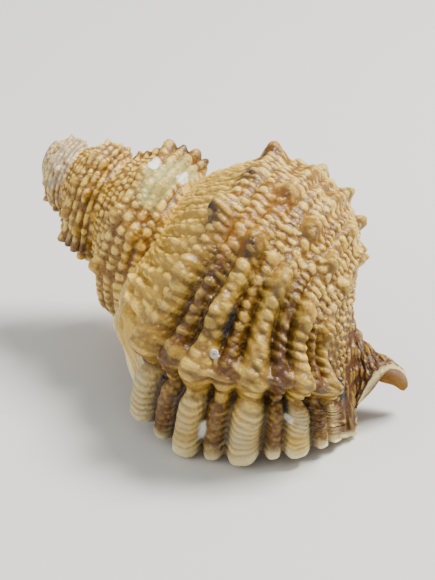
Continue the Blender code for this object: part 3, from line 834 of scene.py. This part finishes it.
def relief(f):
    """The fine sculpture's height in millimetres: each form's own height times its share, added up."""
    height = beaded_height(f)
    height = height + RING_HEIGHT * (f.rib_ring - RING_LEVEL) * f.on_rib * f.cord
    height = height + FAN_RING_HEIGHT * (f.fan_ring - FAN_RING_LEVEL) * f.on_fan
    fold = folds(f.psi, f.step)
    height = height + FOLD_HEIGHT * (fold - FOLD_LEVEL) * (fold > 0)
    line_height = LINE_HEIGHT + FAN_LINE_HEIGHT * f.on_fan
    height = height + line_height * (growth_lines(f.psi, f.row) - LINE_LEVEL)
    knuckle = bump(f.at - VARIX_PSI, np.where(f.at < VARIX_PSI, KNUCKLE_BEFORE, KNUCKLE_AFTER)) * f.near_lip
    height = height + KNUCKLE_HEIGHT * knuckle * (f.cord - KNUCKLE_LEVEL)
    height = height + CROWN_HEIGHT * f.crown * (1 - CROWN_LOSS_ON_RIBS * f.on_rib)
    low_back = bump(f.psi - LOW_BACK.psi, LOW_BACK.psi_reach) * bump(f.row - LOW_BACK.row, LOW_BACK.row_reach)
    height = height - LOW_BACK.depth * low_back
    old_flute = np.minimum(OLD_FLUTE_FLAT * f.old_lip, 1.0) * (f.psi < 0.0) * smooth(f.step, *OLD_FLUTE_STEPS)
    bars = np.minimum(ridges(f.row, OLD_FLUTE_WIDTH), 1.0)
    height = height + OLD_FLUTE_HEIGHT * old_flute * (bars - GROOVE_LEVEL)
    height = height * (1 - OLD_FLUTE_SMOOTHING * old_flute)
    return height - EXTRA_STEP_DEPTH * bump(f.at - STEP_PSI, EXTRA_STEP_HALF_PSI) * f.near_lip


def colour_masks(f):
    """The masks that the materials follow, by the name of their attribute."""
    fluted = np.maximum(f.near_lip, f.old_lip * smooth(f.row, *OLD_GROOVE_ROWS))
    old_rib = share_of(f.old_lip * smooth(f.row, *OLD_RIB_ROWS)) * (f.psi < OLD_RIBS_BEFORE_PSI)
    groove = share_of(GROOVE_FULL - GROOVE_FALL * f.cord) * share_of(fluted) * f.before_neck
    # Painted shade on the knobs' flanks, weaker on the beads and none on the underside.
    painted_flank_shade = f.flank * (1 - PAINTED_SHADE_LOSS_ON_BEADS * f.bead) * (1 - underside(f.psi))
    ragged = RIM_RAGGED_PSI * drift(f.step * RIM_RAGGED_SCALE[1], f.psi * RIM_RAGGED_SCALE[0], RIM_SEED)
    rim = np.maximum(smooth(f.psi + ragged, *RIM_PSI), smooth(f.step, *RIM_STEPS))
    on_late_neck = NECK_COLOUR_LEAST + (1 - NECK_COLOUR_LEAST) * smooth(f.psi, *NECK_COLOUR_PSI)
    cloud = drift(f.psi / APEX_CHALK_PSI, f.step * APEX_CHALK_SCALE, APEX_SEED)
    worn_tip = APEX_CHALK * (1 - smooth(f.psi, *APEX_PSI)) * cloud
    return {
        "bead": share_of(BEAD_GAIN * f.bead) * (1 - BEAD_COLOUR_LOSS_ON_FAN * f.on_fan),
        "knob": share_of(CROWN_GAIN * f.crown),
        "groove": groove * smooth(f.row, *GROOVE_ROWS),
        "painted_knob_shade": share_of(PAINTED_SHADE_GAIN * painted_flank_shade) * (1 - f.on_fan),
        "narrow": share_of(f.narrow * fluted),
        "ring": share_of(f.rib_ring * f.on_rib + f.fan_ring * f.on_fan),
        "old_lip": np.maximum(f.on_rib, old_rib),
        "fan": f.on_fan,
        "rim": rim,
        "whorl": f.size,
        "string": share_of(f.string),
        "neck": smooth(f.step, *NECK_COLOUR_STEPS) * on_late_neck,
        "ramp": (1 - smooth(f.step, *RAMP_STEPS)) * smooth(f.psi, *RAMP_PSI),
        "chalk": np.maximum(patch(f.psi, f.row, CHALK_PATCHES), worn_tip),
        "grey": patch(f.psi, f.row, GREY_PATCHES) * share_of(GREY_FULL - GREY_FALL * f.cord),
        "wash": patch(f.psi, f.row, WASH_PATCHES),
        "orange": patch(f.psi, f.row, ORANGE_PATCHES),
    }


def sculpture(psi, step):
    """The height above the plain whorl in millimetres, and the masks that the colours follow."""
    f = forms(psi, step)
    height = f.coarse_height * f.before_neck + relief(f) * (0.5 + 0.5 / np.sqrt(f.size))
    return f.size * height * bare(psi, step) * (1 - smooth(step, *BARE_TIP_STEPS)), colour_masks(f)


def scalloped(psi, step):
    """Flutes reach further than the grooves between them, and the lip reaches furthest near the spire."""
    reach = SCALLOP_PSI * (ridges(row_at(psi, step)) - SCALLOP_MIDDLE) + lip_lean(step)
    return psi + reach * between(step, *SCALLOP_STEPS) * smooth(psi, LEAN_PSI, LIP_PSI)


def outward(psi, step):
    """The plain whorl's normal: the cross product of its slopes along and across the spiral."""
    along = plain(psi + SLOPE_PSI, step) - plain(psi - SLOPE_PSI, step)
    above, below = np.minimum(step + SLOPE_STEP, TIP_STEP), np.maximum(step - SLOPE_STEP, 0.0)
    across = plain(psi, above) - plain(psi, below)
    normal = np.cross(along, across)
    return normal / np.linalg.norm(normal, axis=-1, keepdims=True)


def lifted(psi, step, height):
    """The plain whorl, scalloped at the lip and pushed out along its normal by a height."""
    return plain(scalloped(psi, step), step) + outward(psi, step) * height[..., None]


def solid_height(psi, step):
    """The height of the coarse sculpture, in millimetres."""
    return growth(psi) * coarse(psi, step)[0] * bare(psi, step) * (1 - smooth(step, *COARSE_END_STEPS))


def outside(psi, step):
    """The whorl lifted by its sculpture, with the rim of lip and canal rolled in by a quarter circle."""
    height, masks = sculpture(psi, step)
    at_lip = share_of(1 - (LIP_PSI - psi) / EDGE_ROUND_PSI) * smooth(step, *EDGE_FIRST_STEPS)
    at_tip = share_of(1 - (TIP_STEP - step) / EDGE_ROUND_STEPS)
    rolled = EDGE_ROUND * (1 - np.sqrt(1 - np.maximum(at_lip, at_tip) ** 2))
    return lifted(psi, step, height - rolled), masks


def spread(ends, gaps):
    """Places from the first end to the last, even between neighbouring ends, about the given gap apart."""
    runs = [np.linspace(a, b, round(abs(b - a) / gap) + 1)[:-1] for a, b, gap in zip(ends, ends[1:], gaps)]
    return np.append(np.concatenate(runs), ends[-1])


def quads(index):
    """Two triangles for each cell of a grid of vertex numbers."""
    a, b, c, d = index[:-1, :-1], index[1:, :-1], index[1:, 1:], index[:-1, 1:]
    return np.concatenate([np.stack([a, b, c], -1).reshape(-1, 3), np.stack([a, c, d], -1).reshape(-1, 3)])


def closed_quads(index):
    """Two triangles for each cell of a grid of vertex numbers whose rows are closed loops."""
    return quads(np.hstack([index, index[:, :1]]))


def strip(first, first_at, second, second_at):
    """Triangles between two rows of vertices whose places run between the same ends, in order of place."""
    facing = np.searchsorted(second_at[1:], first_at[1:], side="left")
    down = np.stack([first[:-1], first[1:], second[facing]], -1)
    facing = np.searchsorted(first_at[1:], second_at[1:], side="right")
    up = np.stack([second[1:], second[:-1], first[facing]], -1)
    return np.concatenate([down, up])


def fan_over(loop, centre):
    """Triangles from each edge of a closed loop to one vertex."""
    return np.stack([loop, np.roll(loop, -1), np.full_like(loop, centre)], -1)


def add_mesh(name, points, triangles, masks=None):
    """A mesh object from arrays: flat triangles are dropped, faces turned outwards, masks made attributes."""
    a, b, c = triangles.T
    triangles = triangles[(a != b) & (b != c) & (a != c)]
    mesh = bpy.data.meshes.new(name)
    mesh.vertices.add(len(points))
    mesh.vertices.foreach_set("co", np.asarray(points, np.float32).ravel())
    mesh.loops.add(triangles.size)
    mesh.loops.foreach_set("vertex_index", triangles.astype(np.int32).ravel())
    mesh.polygons.add(len(triangles))
    mesh.polygons.foreach_set("loop_start", np.arange(0, triangles.size, 3, dtype=np.int32))
    mesh.update(calc_edges=True)
    mesh.validate()
    for mask, values in (masks or {}).items():
        layer = mesh.attributes.new(mask, "FLOAT", "POINT")
        layer.data.foreach_set("value", np.asarray(values, np.float32))
    edit = bmesh.new()
    edit.from_mesh(mesh)
    bmesh.ops.recalc_face_normals(edit, faces=edit.faces)
    edit.to_mesh(mesh)
    edit.free()
    made = bpy.data.objects.new(name, mesh)
    bpy.context.collection.objects.link(made)
    return made


class Skin:
    """Points and masks gathered piece by piece into one surface."""

    def __init__(self):
        self.points = np.empty((0, 3))
        self.masks = {}

    def add(self, points, masks):
        """Adds points with their masks and gives their numbers, laid out as the points are."""
        index = len(self.points) + np.arange(points[..., 0].size).reshape(points.shape[:-1])
        self.points = np.concatenate([self.points, points.reshape(-1, 3)])
        for name, values in masks.items():
            self.masks[name] = np.append(self.masks.get(name, []), values)
        return index

    def add_like(self, points, vertex=None):
        """Adds points that have the masks of one vertex, or none."""
        count = points[..., 0].size
        own = {name: 0.0 if vertex is None else values[vertex] for name, values in self.masks.items()}
        return self.add(points, {name: np.full(count, value) for name, value in own.items()})


def shell_grids(skin):
    """The last whorl and the spire as two grids: their places and the numbers of their points, by name.

    The last whorl's grid meets its own first point where the lip's suture crosses the whorl before.
    """
    g = SimpleNamespace()
    g.last_psi = spread(LAST_WHORL_PSI, LAST_WHORL_PSI_GAPS)
    g.last_steps = spread(LAST_WHORL_STEPS, LAST_WHORL_STEP_GAPS)
    g.last = skin.add(*outside(*np.meshgrid(g.last_psi, g.last_steps, indexing="ij")))
    g.spire_psi = spread(SPIRE_GRID_PSI, SPIRE_PSI_GAPS)
    g.spire_share = np.linspace(0.0, SPIRE_LAST_SHARE, SPIRE_ROWS)
    psi, share = np.meshgrid(g.spire_psi, g.spire_share, indexing="ij")
    g.spire = skin.add(*outside(psi, share * suture_step(psi + 360.0)))
    g.suture = int(np.argmin(np.abs(g.last_steps - suture_step(np.array(LIP_PSI)))))
    g.last[-1, g.suture] = g.last[0, 0]
    return g


def sewn(g):
    """Triangles that sew the two grids to each other, and each whorl's suture to the whorl before."""
    to_suture = g.last_steps[: g.suture] / g.last_steps[g.suture - 1]
    across = strip(g.last[-1, : g.suture], to_suture, g.spire[0], g.spire_share / g.spire_share[-1])
    before_tip = g.spire_psi >= SPIRE_END_PSI + 360.0 - SAME_PSI
    upper = np.concatenate([g.last[:, 0], g.spire[before_tip, 0]])
    upper_at = 360.0 - np.concatenate([g.last_psi, g.spire_psi[before_tip]])
    lower = np.append(g.last[-1, g.suture - 1], g.spire[:, -1])
    lower_at = -np.append(g.last_psi[-1], g.spire_psi)
    return np.concatenate([across, strip(upper, upper_at, lower, lower_at)])


def web_row(g):
    """A row of points along the lip, set in from it, without the two ends."""
    psi = np.full_like(g.last_steps, LIP_PSI)
    inset = WEB_INSET * between(g.last_steps, *WEB_STEPS)
    return lifted(psi, g.last_steps, solid_height(psi, g.last_steps) - inset)[1:-1]


def web(g, row):
    """Triangles over the aperture: from the lip to the row inside it, and on to the whorl before."""
    inner = np.concatenate([g.last[0, :1], row, g.last[0, -1:]])
    lip_suture = suture_step(np.array(LIP_PSI))
    web_at = (g.last_steps[g.suture :] - lip_suture) / (TIP_STEP - lip_suture)
    over = strip(inner, g.last_steps / TIP_STEP, g.last[-1, g.suture :], web_at)
    return np.concatenate([quads(np.stack([g.last[0], inner])), over])


def dome(loop, middle):
    """Rings from a loop to a peak TIP_CONE off its middle, each drawn in by a cosine and out by a sine."""
    angle = np.radians(np.linspace(0.0, 90.0, TIP_RINGS + 2))[1:-1, None, None]
    return middle + (loop - middle) * np.cos(angle) - np.array([TIP_CONE, 0.0, 0.0]) * np.sin(angle)


def shell_outside():
    """The whole outside as one closed mesh.

    It is a grid for the last whorl and a coarser one for the spire, strips that sew each whorl to the next, a
    web over the aperture, a cone over the canal's end and a dome over the tip.
    """
    skin = Skin()
    g = shell_grids(skin)
    canal_loop = g.last[:, -1]
    first_of_tip = int(np.argmax(g.spire_psi <= SPIRE_END_PSI + 360.0 + SAME_PSI))
    tip_loop = np.concatenate([g.spire[first_of_tip:, 0], g.spire[-1, 1:]])
    tip_mask = g.spire[-1, -1]
    canal_middle = skin.points[canal_loop].mean(axis=0)
    tip_middle = skin.points[tip_loop].mean(axis=0)
    tip_rings = dome(skin.points[tip_loop], tip_middle)
    canal_peak = skin.add_like(canal_middle + np.array([CANAL_CONE, 0.0, 0.0]))
    tip_peak = skin.add_like(tip_middle - np.array([TIP_CONE, 0.0, 0.0]), tip_mask)
    row = skin.add_like(web_row(g))
    rings = np.vstack([tip_loop, skin.add_like(tip_rings, tip_mask)])
    triangles = [quads(g.last), quads(g.spire), sewn(g), web(g, row)]
    triangles += [fan_over(canal_loop, canal_peak), closed_quads(rings), fan_over(rings[-1], tip_peak)]
    return add_mesh("frog_shell", skin.points, np.concatenate(triangles), skin.masks)


def tube(name, rings_of_points, lead=0.0):
    """A closed tube through rings of points, with a fan over each end.

    The first fan is drawn out to a point that leads the first ring by a share of the way from the second.
    """
    count, sides = rings_of_points.shape[:2]
    index = np.arange(count * sides).reshape(count, sides)
    middles = rings_of_points.mean(axis=1)
    peak = middles[0] + lead * (middles[0] - middles[1])
    points = np.concatenate([rings_of_points.reshape(-1, 3), [peak, middles[-1]]])
    ends = [fan_over(index[0], count * sides), fan_over(index[-1], count * sides + 1)]
    return add_mesh(name, points, np.concatenate([closed_quads(index), *ends]))


def hollow():
    """The aperture, as a tube of the last half turn.

    Its outer wall follows the grooves at the wall's thickness and rises half as high as the flutes. Its inner
    wall runs smoothly over the whorl before and the columella.
    """
    back = np.linspace(CAVITY_START, CAVITY_TURNS, HOLLOW_RINGS)[:, None]
    psi = LIP_PSI - 360.0 * back
    outer_psi, outer_step = np.broadcast_arrays(psi, np.linspace(*CAVITY_STEPS, HOLLOW_OUTER_SIDES)[None])
    wall_share = LIP_WALL_SHARE + (1 - LIP_WALL_SHARE) * smooth(back, *LIP_WALL_TURNS)
    height = solid_height(outer_psi, outer_step)
    inside_height = np.minimum(height, FLUTE_SHARE_INSIDE * height) - WALL * wall_share * growth(outer_psi)
    outer = lifted(outer_psi, outer_step, inside_height)
    at_lip, deeper, at_suture = COLUMELLA_STEPS
    from_step = at_lip + (deeper - at_lip) * smooth(back, *COLUMELLA_TURNS)
    inner_step = from_step + (at_suture - from_step) * np.linspace(0.0, 1.0, HOLLOW_INNER_SIDES)[None]
    inner_psi, inner_step = np.broadcast_arrays(psi - 360.0, inner_step)
    gap = COLUMELLA_GAP * growth(inner_psi)
    inner = plain(inner_psi, inner_step) + outward(inner_psi, inner_step) * gap[..., None]
    both = np.concatenate([outer, inner], axis=1)
    narrowing = CAVITY_NARROWING * smooth(back, *CAVITY_END_TURNS)[..., None]
    return tube("hollow", both + (both.mean(axis=1, keepdims=True) - both) * narrowing, lead=CAVITY_LEAD)


def channel():
    """The siphonal channel: ellipses along X that start in the aperture, widen and open underneath."""
    angle = np.radians(np.linspace(0, 360, CHANNEL_SIDES, endpoint=False))[None]
    x = np.linspace(CHANNEL_START[0], CANAL_END[0] + CHANNEL_PAST_END, CHANNEL_RINGS)[:, None]
    run = smooth(x, CHANNEL_START[0], CHANNEL_FULL_X)
    flare = CHANNEL_FLARE * smooth(x, *CHANNEL_FLARE_X)
    end_half_width = CANAL_HALF_WIDTH - CANAL_WALL
    end_half_height = CANAL_HALF_HEIGHT + CHANNEL_EXTRA_HEIGHT
    half_width = CHANNEL_START_RADIUS + (end_half_width - CHANNEL_START_RADIUS) * run + flare
    half_height = CHANNEL_START_RADIUS + (end_half_height - CHANNEL_START_RADIUS) * run + flare
    y = CHANNEL_START[1] + (CANAL_END[1] - CHANNEL_START[1]) * run + half_width * np.sin(angle)
    drop = CANAL_END[2] - CHANNEL_DROP - CHANNEL_START[2]
    z = CHANNEL_START[2] + drop * run + half_height * np.cos(angle)
    return tube("channel", np.stack([np.broadcast_to(x, y.shape), y, z], -1))


def cut(target, cutter):
    """Takes one closed mesh out of another, with a modifier."""
    step = target.modifiers.new(cutter.name, "BOOLEAN")
    step.operation = "DIFFERENCE"
    step.solver = "MANIFOLD"
    step.object = cutter


def apply_modifiers(item):
    """Turns the evaluated mesh into the object's own mesh."""
    graph = bpy.context.evaluated_depsgraph_get()
    done = bpy.data.meshes.new_from_object(item.evaluated_get(graph))
    item.modifiers.clear()
    item.data = done


def make_shell(materials):
    """The shell: the closed outside, hollowed by the aperture and the siphonal channel."""
    shell = shell_outside()
    cutters = [hollow(), channel()]
    for cutter in cutters:
        cutter.data.materials.append(materials["inside"])
        cut(shell, cutter)
    shell.data.materials.append(materials["outside"])
    shell.data.materials.append(materials["inside"])
    apply_modifiers(shell)
    for cutter in cutters:
        bpy.data.objects.remove(cutter, do_unlink=True)
    return shell


def make_worm(material):
    """A flat coil, raised in the middle: a tube of growing radius carried along a spiral of two turns."""
    psi, step = (np.array([value]) for value in WORM_PLACE)
    share = np.linspace(0.0, 1.0, WORM_RINGS)[:, None]
    side = np.radians(np.linspace(0, 360, WORM_SIDES, endpoint=False))[None]
    radius = WORM_TUBE_RADIUS * (WORM_TUBE_START + (1 - WORM_TUBE_START) * share)
    reach = WORM_COIL_RADIUS * (WORM_COIL_START + (1 - WORM_COIL_START) * share) + radius * np.cos(side)
    angle = 2 * np.pi * WORM_TURNS * share
    rise = radius * np.sin(side) + WORM_RISE * (1 - share)
    local = np.stack([reach * np.cos(angle), reach * np.sin(angle), rise], -1)
    height, _ = sculpture(psi, step)
    normal = outward(psi, step)[0]
    spot = plain(scalloped(psi, step), step)[0] + normal * (height[0] + WORM_LIFT)
    facing = np.array(Vector(normal).to_track_quat("Z", "Y").to_matrix())
    made = tube("worm_coil", local @ facing.T + spot)
    made.data.materials.append(material)
    return made


def lay_down(items, body):
    """Pitch and roll, then set into the solids' box: centred over it, on its floor, and no larger than it."""
    turned = np.array(Euler((np.radians(ROLL), np.radians(PITCH), 0.0)).to_matrix())
    points = np.empty(len(body.data.vertices) * 3, np.float32)
    body.data.vertices.foreach_get("co", points)
    lying = points.reshape(-1, 3) @ turned.T * MM
    low, high = lying.min(axis=0), lying.max(axis=0)
    box_low, box_high = np.array(cad_low), np.array(cad_high)
    share = min(1.0, float(((box_high - box_low) / (high - low)).min()))
    place = (box_low + box_high) / 2 - (low + high) / 2 * share
    place[2] = box_low[2] - low[2] * share
    fit = Matrix.Translation(Vector(place)) @ Matrix.Scale(share * MM, 4) @ Matrix(turned.tolist()).to_4x4()
    for item in items:
        item.data.transform(fit)


class Nodes:
    """Makes shader nodes in one tree. A value may be a number, a colour or another node's output."""

    def __init__(self, tree):
        self.tree = tree

    def feed(self, target, value):
        """Links an output to a socket, or sets the socket's own value."""
        if isinstance(value, bpy.types.NodeSocket):
            self.tree.links.new(value, target)
        else:
            target.default_value = value

    def node(self, kind, **inputs):
        """A node with inputs given by name, an underscore for a space."""
        made = self.tree.nodes.new(kind)
        for name, value in inputs.items():
            self.feed(made.inputs[name.replace("_", " ")], value)
        return made

    def group(self, tree, **inputs):
        """A node group with its own values."""
        made = self.tree.nodes.new("ShaderNodeGroup")
        made.node_tree = tree
        for name, value in inputs.items():
            self.feed(made.inputs[name.replace("_", " ")], value)
        return made

    def mask(self, name):
        """One of the mesh's own masks."""
        made = self.tree.nodes.new("ShaderNodeAttribute")
        made.attribute_name = name
        return made.outputs["Fac"]

    def ease(self, value, low, high):
        """0 at low and 1 at high, straight between them."""
        return self.node("ShaderNodeMapRange", Value=value, From_Min=low, From_Max=high).outputs[0]

    def math(self, operation, first, second, clamp=False):
        """Arithmetic on two values, cut off to 0 and 1 where asked."""
        made = self.tree.nodes.new("ShaderNodeMath")
        made.operation = operation
        made.use_clamp = clamp
        self.feed(made.inputs[0], first)
        self.feed(made.inputs[1], second)
        return made.outputs[0]

    def times(self, first, second, clamp=False):
        """The product, cut off to 0 and 1 where asked."""
        return self.math("MULTIPLY", first, second, clamp)

    def plus(self, first, second):
        """The sum."""
        return self.math("ADD", first, second)

    def less(self, first, second):
        """First less second, cut off to 0 and 1."""
        return self.math("SUBTRACT", first, second, True)

    def mix(self, share, first, second):
        """Colour mix by share."""
        made = self.tree.nodes.new("ShaderNodeMix")
        made.data_type = "RGBA"
        for number, value in zip(MIX_COLOUR_INPUTS, (share, first, second)):
            self.feed(made.inputs[number], value)
        return made.outputs[MIX_COLOUR_OUTPUT]

    def layers(self, colour, *layers):
        """A colour with others over it, each given as (share, colour)."""
        for share, over in layers:
            colour = self.mix(share, colour, over)
        return colour


def grain_group():
    """Lime grain, all from noise in the object's own space: mottle, speckle, a pitted height and pustules."""
    tree = bpy.data.node_groups.new("lime_grain", "ShaderNodeTree")
    for name, value in (("Mottle Scale", 120.0), ("Grain Scale", 2600.0), ("Pustule Scale", 800.0)):
        tree.interface.new_socket(name, socket_type="NodeSocketFloat", in_out="INPUT").default_value = value
    for name in ("Mottle", "Speckle", "Height", "Pustule"):
        tree.interface.new_socket(name, socket_type="NodeSocketFloat", in_out="OUTPUT")
    nodes = Nodes(tree)
    given = tree.nodes.new("NodeGroupInput").outputs
    place = tree.nodes.new("ShaderNodeTexCoord").outputs["Object"]
    mottle = nodes.node("ShaderNodeTexNoise", Vector=place, Scale=given[0], Detail=4.0, Roughness=0.6)
    grain = nodes.node("ShaderNodeTexNoise", Vector=place, Scale=given[1], Detail=2.0, Roughness=0.6)
    cells = nodes.node("ShaderNodeTexVoronoi", Vector=place, Scale=given[2])
    out = tree.nodes.new("NodeGroupOutput").inputs
    nodes.feed(out["Mottle"], nodes.ease(mottle.outputs[0], 0.35, 0.65))
    nodes.feed(out["Speckle"], nodes.ease(grain.outputs[0], 0.4, 0.65))
    nodes.feed(out["Height"], grain.outputs[0])
    nodes.feed(out["Pustule"], nodes.ease(cells.outputs["Distance"], 0.55, 0.12))
    return tree


def blank(name):
    """A new material, the maker of its nodes, and its shader's inputs."""
    made = bpy.data.materials.new(name)
    made.use_nodes = True
    return made, Nodes(made.node_tree), made.node_tree.nodes["Principled BSDF"].inputs


def ground_colour(n, grain, late):
    """Between the beads: ochre and gold, tan on the spire, with brown pits and troughs and cream pustules."""
    pits = n.times(n.less(1.0, grain.pustule), n.plus(n.times(grain.cloud, PIT_MORE), PIT_LEAST))
    troughs = n.times(n.less(TROUGH_STRING, n.mask("string")), n.less(TROUGH_LATE, late))
    return n.layers(
        n.mix(late, TAN, OCHRE),
        (n.times(grain.near, GOLD_SHARE), GOLD),
        (pits, BROWN),
        (n.times(grain.pustule, PUSTULE_CREAM), CREAM),
        (troughs, BROWN),
    )


def bead_colour(n, grain):
    """The tops of the beads: cream, speckled with tan and clouded with white."""
    speckled = n.mix(n.times(grain.speck, BEAD_TAN), CREAM, TAN)
    return n.mix(n.times(grain.far, BEAD_WHITE), speckled, WHITE)


def flute_layers(n, grain, fan):
    """On ribs, fan and old lips: brown on the narrow ones and between the rings, pale on their crests."""
    narrow, ring = n.mask("narrow"), n.mask("ring")
    on_lips = n.math("MAXIMUM", n.mask("old_lip"), fan)
    clouded = n.times(narrow, n.plus(n.times(grain.far, NARROW_MORE), NARROW_LEAST))
    between_rings = n.times(n.less(RING_EDGE, ring), on_lips)
    crest_share = n.math("MAXIMUM", fan, n.times(on_lips, RIB_CREST))
    crest = n.times(crest_share, n.plus(n.times(ring, CREST_MORE), CREST_LEAST))
    return (
        (n.times(clouded, n.less(1.0, n.times(fan, NARROW_LOSS_ON_FAN))), BROWN),
        (n.times(between_rings, n.times(grain.far, RING_BROWN)), BROWN),
        (n.less(crest, n.times(narrow, CREST_LOSS_ON_NARROW)), n.mix(n.times(fan, grain.far), CREAM, WHITE)),
    )


def place_layers(n, bead):
    """What belongs to one part of the shell: ramp, neck, painted shade on the knobs' flanks, greenish wash,
    orange patches.
    """
    neck = n.mask("neck")
    # Painted shade on the knobs' flanks, laid on in umber.
    flank = n.times(n.mask("painted_knob_shade"), n.less(FLANK_FULL, n.times(bead, FLANK_LOSS_ON_BEADS)), True)
    return (
        (n.times(n.mask("ramp"), RAMP_CREAM), CREAM),
        (n.times(neck, NECK_GOLD), GOLD),
        (n.times(n.times(neck, n.less(NECK_EDGE, bead)), NECK_BROWN), BROWN),
        (flank, UMBER),
        (n.times(n.mask("wash"), WASH_SHARE), GREENISH),
        (n.times(n.mask("orange"), ORANGE_SHARE), RUST),
    )


def edge_layers(n, grain, fan):
    """The pale rim of lip and canal, the dark grooves between flutes, near-black grey patches low in them and
    chalky spots.
    """
    groove = n.mask("groove")
    rim = n.mix(n.times(n.times(grain.far, grain.speck), RIM_YELLOW), WHITE, YELLOW)
    lighter = n.times(grain.near, n.times(grain.speck, n.less(1.0, fan)))
    return (
        (n.times(n.mask("rim"), n.less(1.0, groove)), rim),
        (n.times(groove, n.plus(n.times(fan, GROOVE_MORE_ON_FAN), 1.0), True), n.mix(lighter, UMBER, OCHRE)),
        (n.mask("grey"), n.mix(grain.speck, GREY, BLACK_BROWN)),
        (n.mask("chalk"), CHALK),
    )


def outside_material(lime):
    """Golden ochre with cream beads, brown between the flutes, and a pale lip."""
    made, n, shader = blank("shell_outside")
    close = n.group(lime, Mottle_Scale=700.0, Grain_Scale=2600.0, Pustule_Scale=760.0).outputs
    broad = n.group(lime, Mottle_Scale=110.0, Grain_Scale=1200.0, Pustule_Scale=420.0).outputs
    grain = SimpleNamespace(near=close["Mottle"], speck=close["Speckle"], pustule=close["Pustule"])
    grain.far, grain.cloud = broad["Mottle"], broad["Speckle"]
    late = n.ease(n.mask("whorl"), *LATE_SIZES)
    bead = n.ease(n.mask("bead"), *BEAD_EASE)
    fan = n.mask("fan")
    colour = n.layers(
        ground_colour(n, grain, late),
        (bead, bead_colour(n, grain)),
        (n.times(n.mask("knob"), CROWN_PALE), n.mix(grain.far, TAN, CREAM)),
        *flute_layers(n, grain, fan),
        *place_layers(n, bead),
        *edge_layers(n, grain, fan),
    )
    n.feed(shader["Base Color"], colour)
    n.feed(shader["Roughness"], n.plus(n.times(grain.speck, 0.25), 0.3))
    domes = n.node("ShaderNodeBump", Strength=0.6, Distance=0.35 * MM, Height=grain.pustule).outputs[0]
    pits = n.node("ShaderNodeBump", Strength=0.5, Distance=0.2 * MM, Height=close["Height"], Normal=domes)
    n.feed(shader["Normal"], pits.outputs[0])
    return made


def inside_material(lime):
    """Smooth porcelain, mottled with apricot."""
    made, n, shader = blank("shell_inside")
    grain = n.group(lime, Mottle_Scale=90.0, Grain_Scale=1500.0).outputs
    n.feed(shader["Base Color"], n.mix(grain["Mottle"], PORCELAIN, APRICOT))
    n.feed(shader["Roughness"], n.plus(n.times(grain["Speckle"], 0.1), 0.22))
    return made


def chalk_material(lime):
    """Dull, chalky lime with a fine grain."""
    made, n, shader = blank("chalky_tube")
    grain = n.group(lime, Mottle_Scale=700.0, Grain_Scale=5000.0).outputs
    n.feed(shader["Base Color"], n.mix(grain["Mottle"], CHALK, DULL_CHALK))
    n.feed(shader["Roughness"], 0.8)
    pits = n.node("ShaderNodeBump", Strength=0.5, Distance=0.1 * MM, Height=grain["Height"])
    n.feed(shader["Normal"], pits.outputs[0])
    return made


def floor():
    """A plain pale floor: one square of two triangles at height 0."""
    corners = FLOOR_REACH * np.array([[-1.0, -1.0, 0.0], [1.0, -1.0, 0.0], [1.0, 1.0, 0.0], [-1.0, 1.0, 0.0]])
    made = add_mesh("floor", corners, np.array([[0, 1, 2], [0, 2, 3]]))
    material, n, shader = blank("pale_floor")
    n.feed(shader["Base Color"], PALE_FLOOR)
    n.feed(shader["Roughness"], 0.6)
    made.data.materials.append(material)


def area_light(name, place, size, power, colour):
    """A square lamp that faces the origin."""
    data = bpy.data.lights.new(name, "AREA")
    data.size, data.energy, data.color = size, power, colour
    made = bpy.data.objects.new(name, data)
    made.location = place
    made.rotation_euler = Vector(place).to_track_quat("Z", "Y").to_euler()
    bpy.context.collection.objects.link(made)


def light():
    """A soft sky, a window from behind the shell and a weak fill from the front."""
    world = bpy.data.worlds.new("studio")
    world.use_nodes = True
    background = world.node_tree.nodes["Background"].inputs
    background["Color"].default_value = SKY
    background["Strength"].default_value = SKY_STRENGTH
    bpy.context.scene.world = world
    area_light("window", *WINDOW)
    area_light("front_fill", *FRONT_FILL)


def camera():
    """A camera on a sphere round its aim: azimuth from -Y towards +X, elevation above the floor."""
    azimuth, elevation = np.radians(CAMERA_AZIMUTH), np.radians(CAMERA_ELEVATION)
    level_part = np.cos(elevation)
    back = Vector((np.sin(azimuth) * level_part, -np.cos(azimuth) * level_part, np.sin(elevation)))
    data = bpy.data.cameras.new("camera")
    data.lens, data.sensor_width, data.clip_start = CAMERA_LENS, CAMERA_SENSOR, CAMERA_NEAR
    made = bpy.data.objects.new("camera", data)
    level = back.to_track_quat("Z", "Y").to_matrix().to_4x4()
    turn = Matrix.Rotation(np.radians(CAMERA_ROLL), 4, "Z")
    made.matrix_world = Matrix.Translation(Vector(CAMERA_AIM) + back * CAMERA_DISTANCE) @ level @ turn
    bpy.context.collection.objects.link(made)
    bpy.context.scene.camera = made


def main():
    """Makes the pieces, lays them down in the solids' box, hangs each under the root body and hides the solid
    that it stands for, then sets the stage.
    """
    lime = grain_group()
    shell = make_shell({"outside": outside_material(lime), "inside": inside_material(lime)})
    coil = make_worm(chalk_material(lime))
    lay_down([shell, coil], shell)
    for piece, solid, angle in ((shell, "shell", SHELL_SMOOTH_ANGLE), (coil, "worm_tube", WORM_SMOOTH_ANGLE)):
        piece.data.shade_smooth()
        piece.data.set_sharp_from_angle(angle=np.radians(angle))
        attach(piece, "root")
        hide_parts(solid)
    floor()
    light()
    camera()


main()
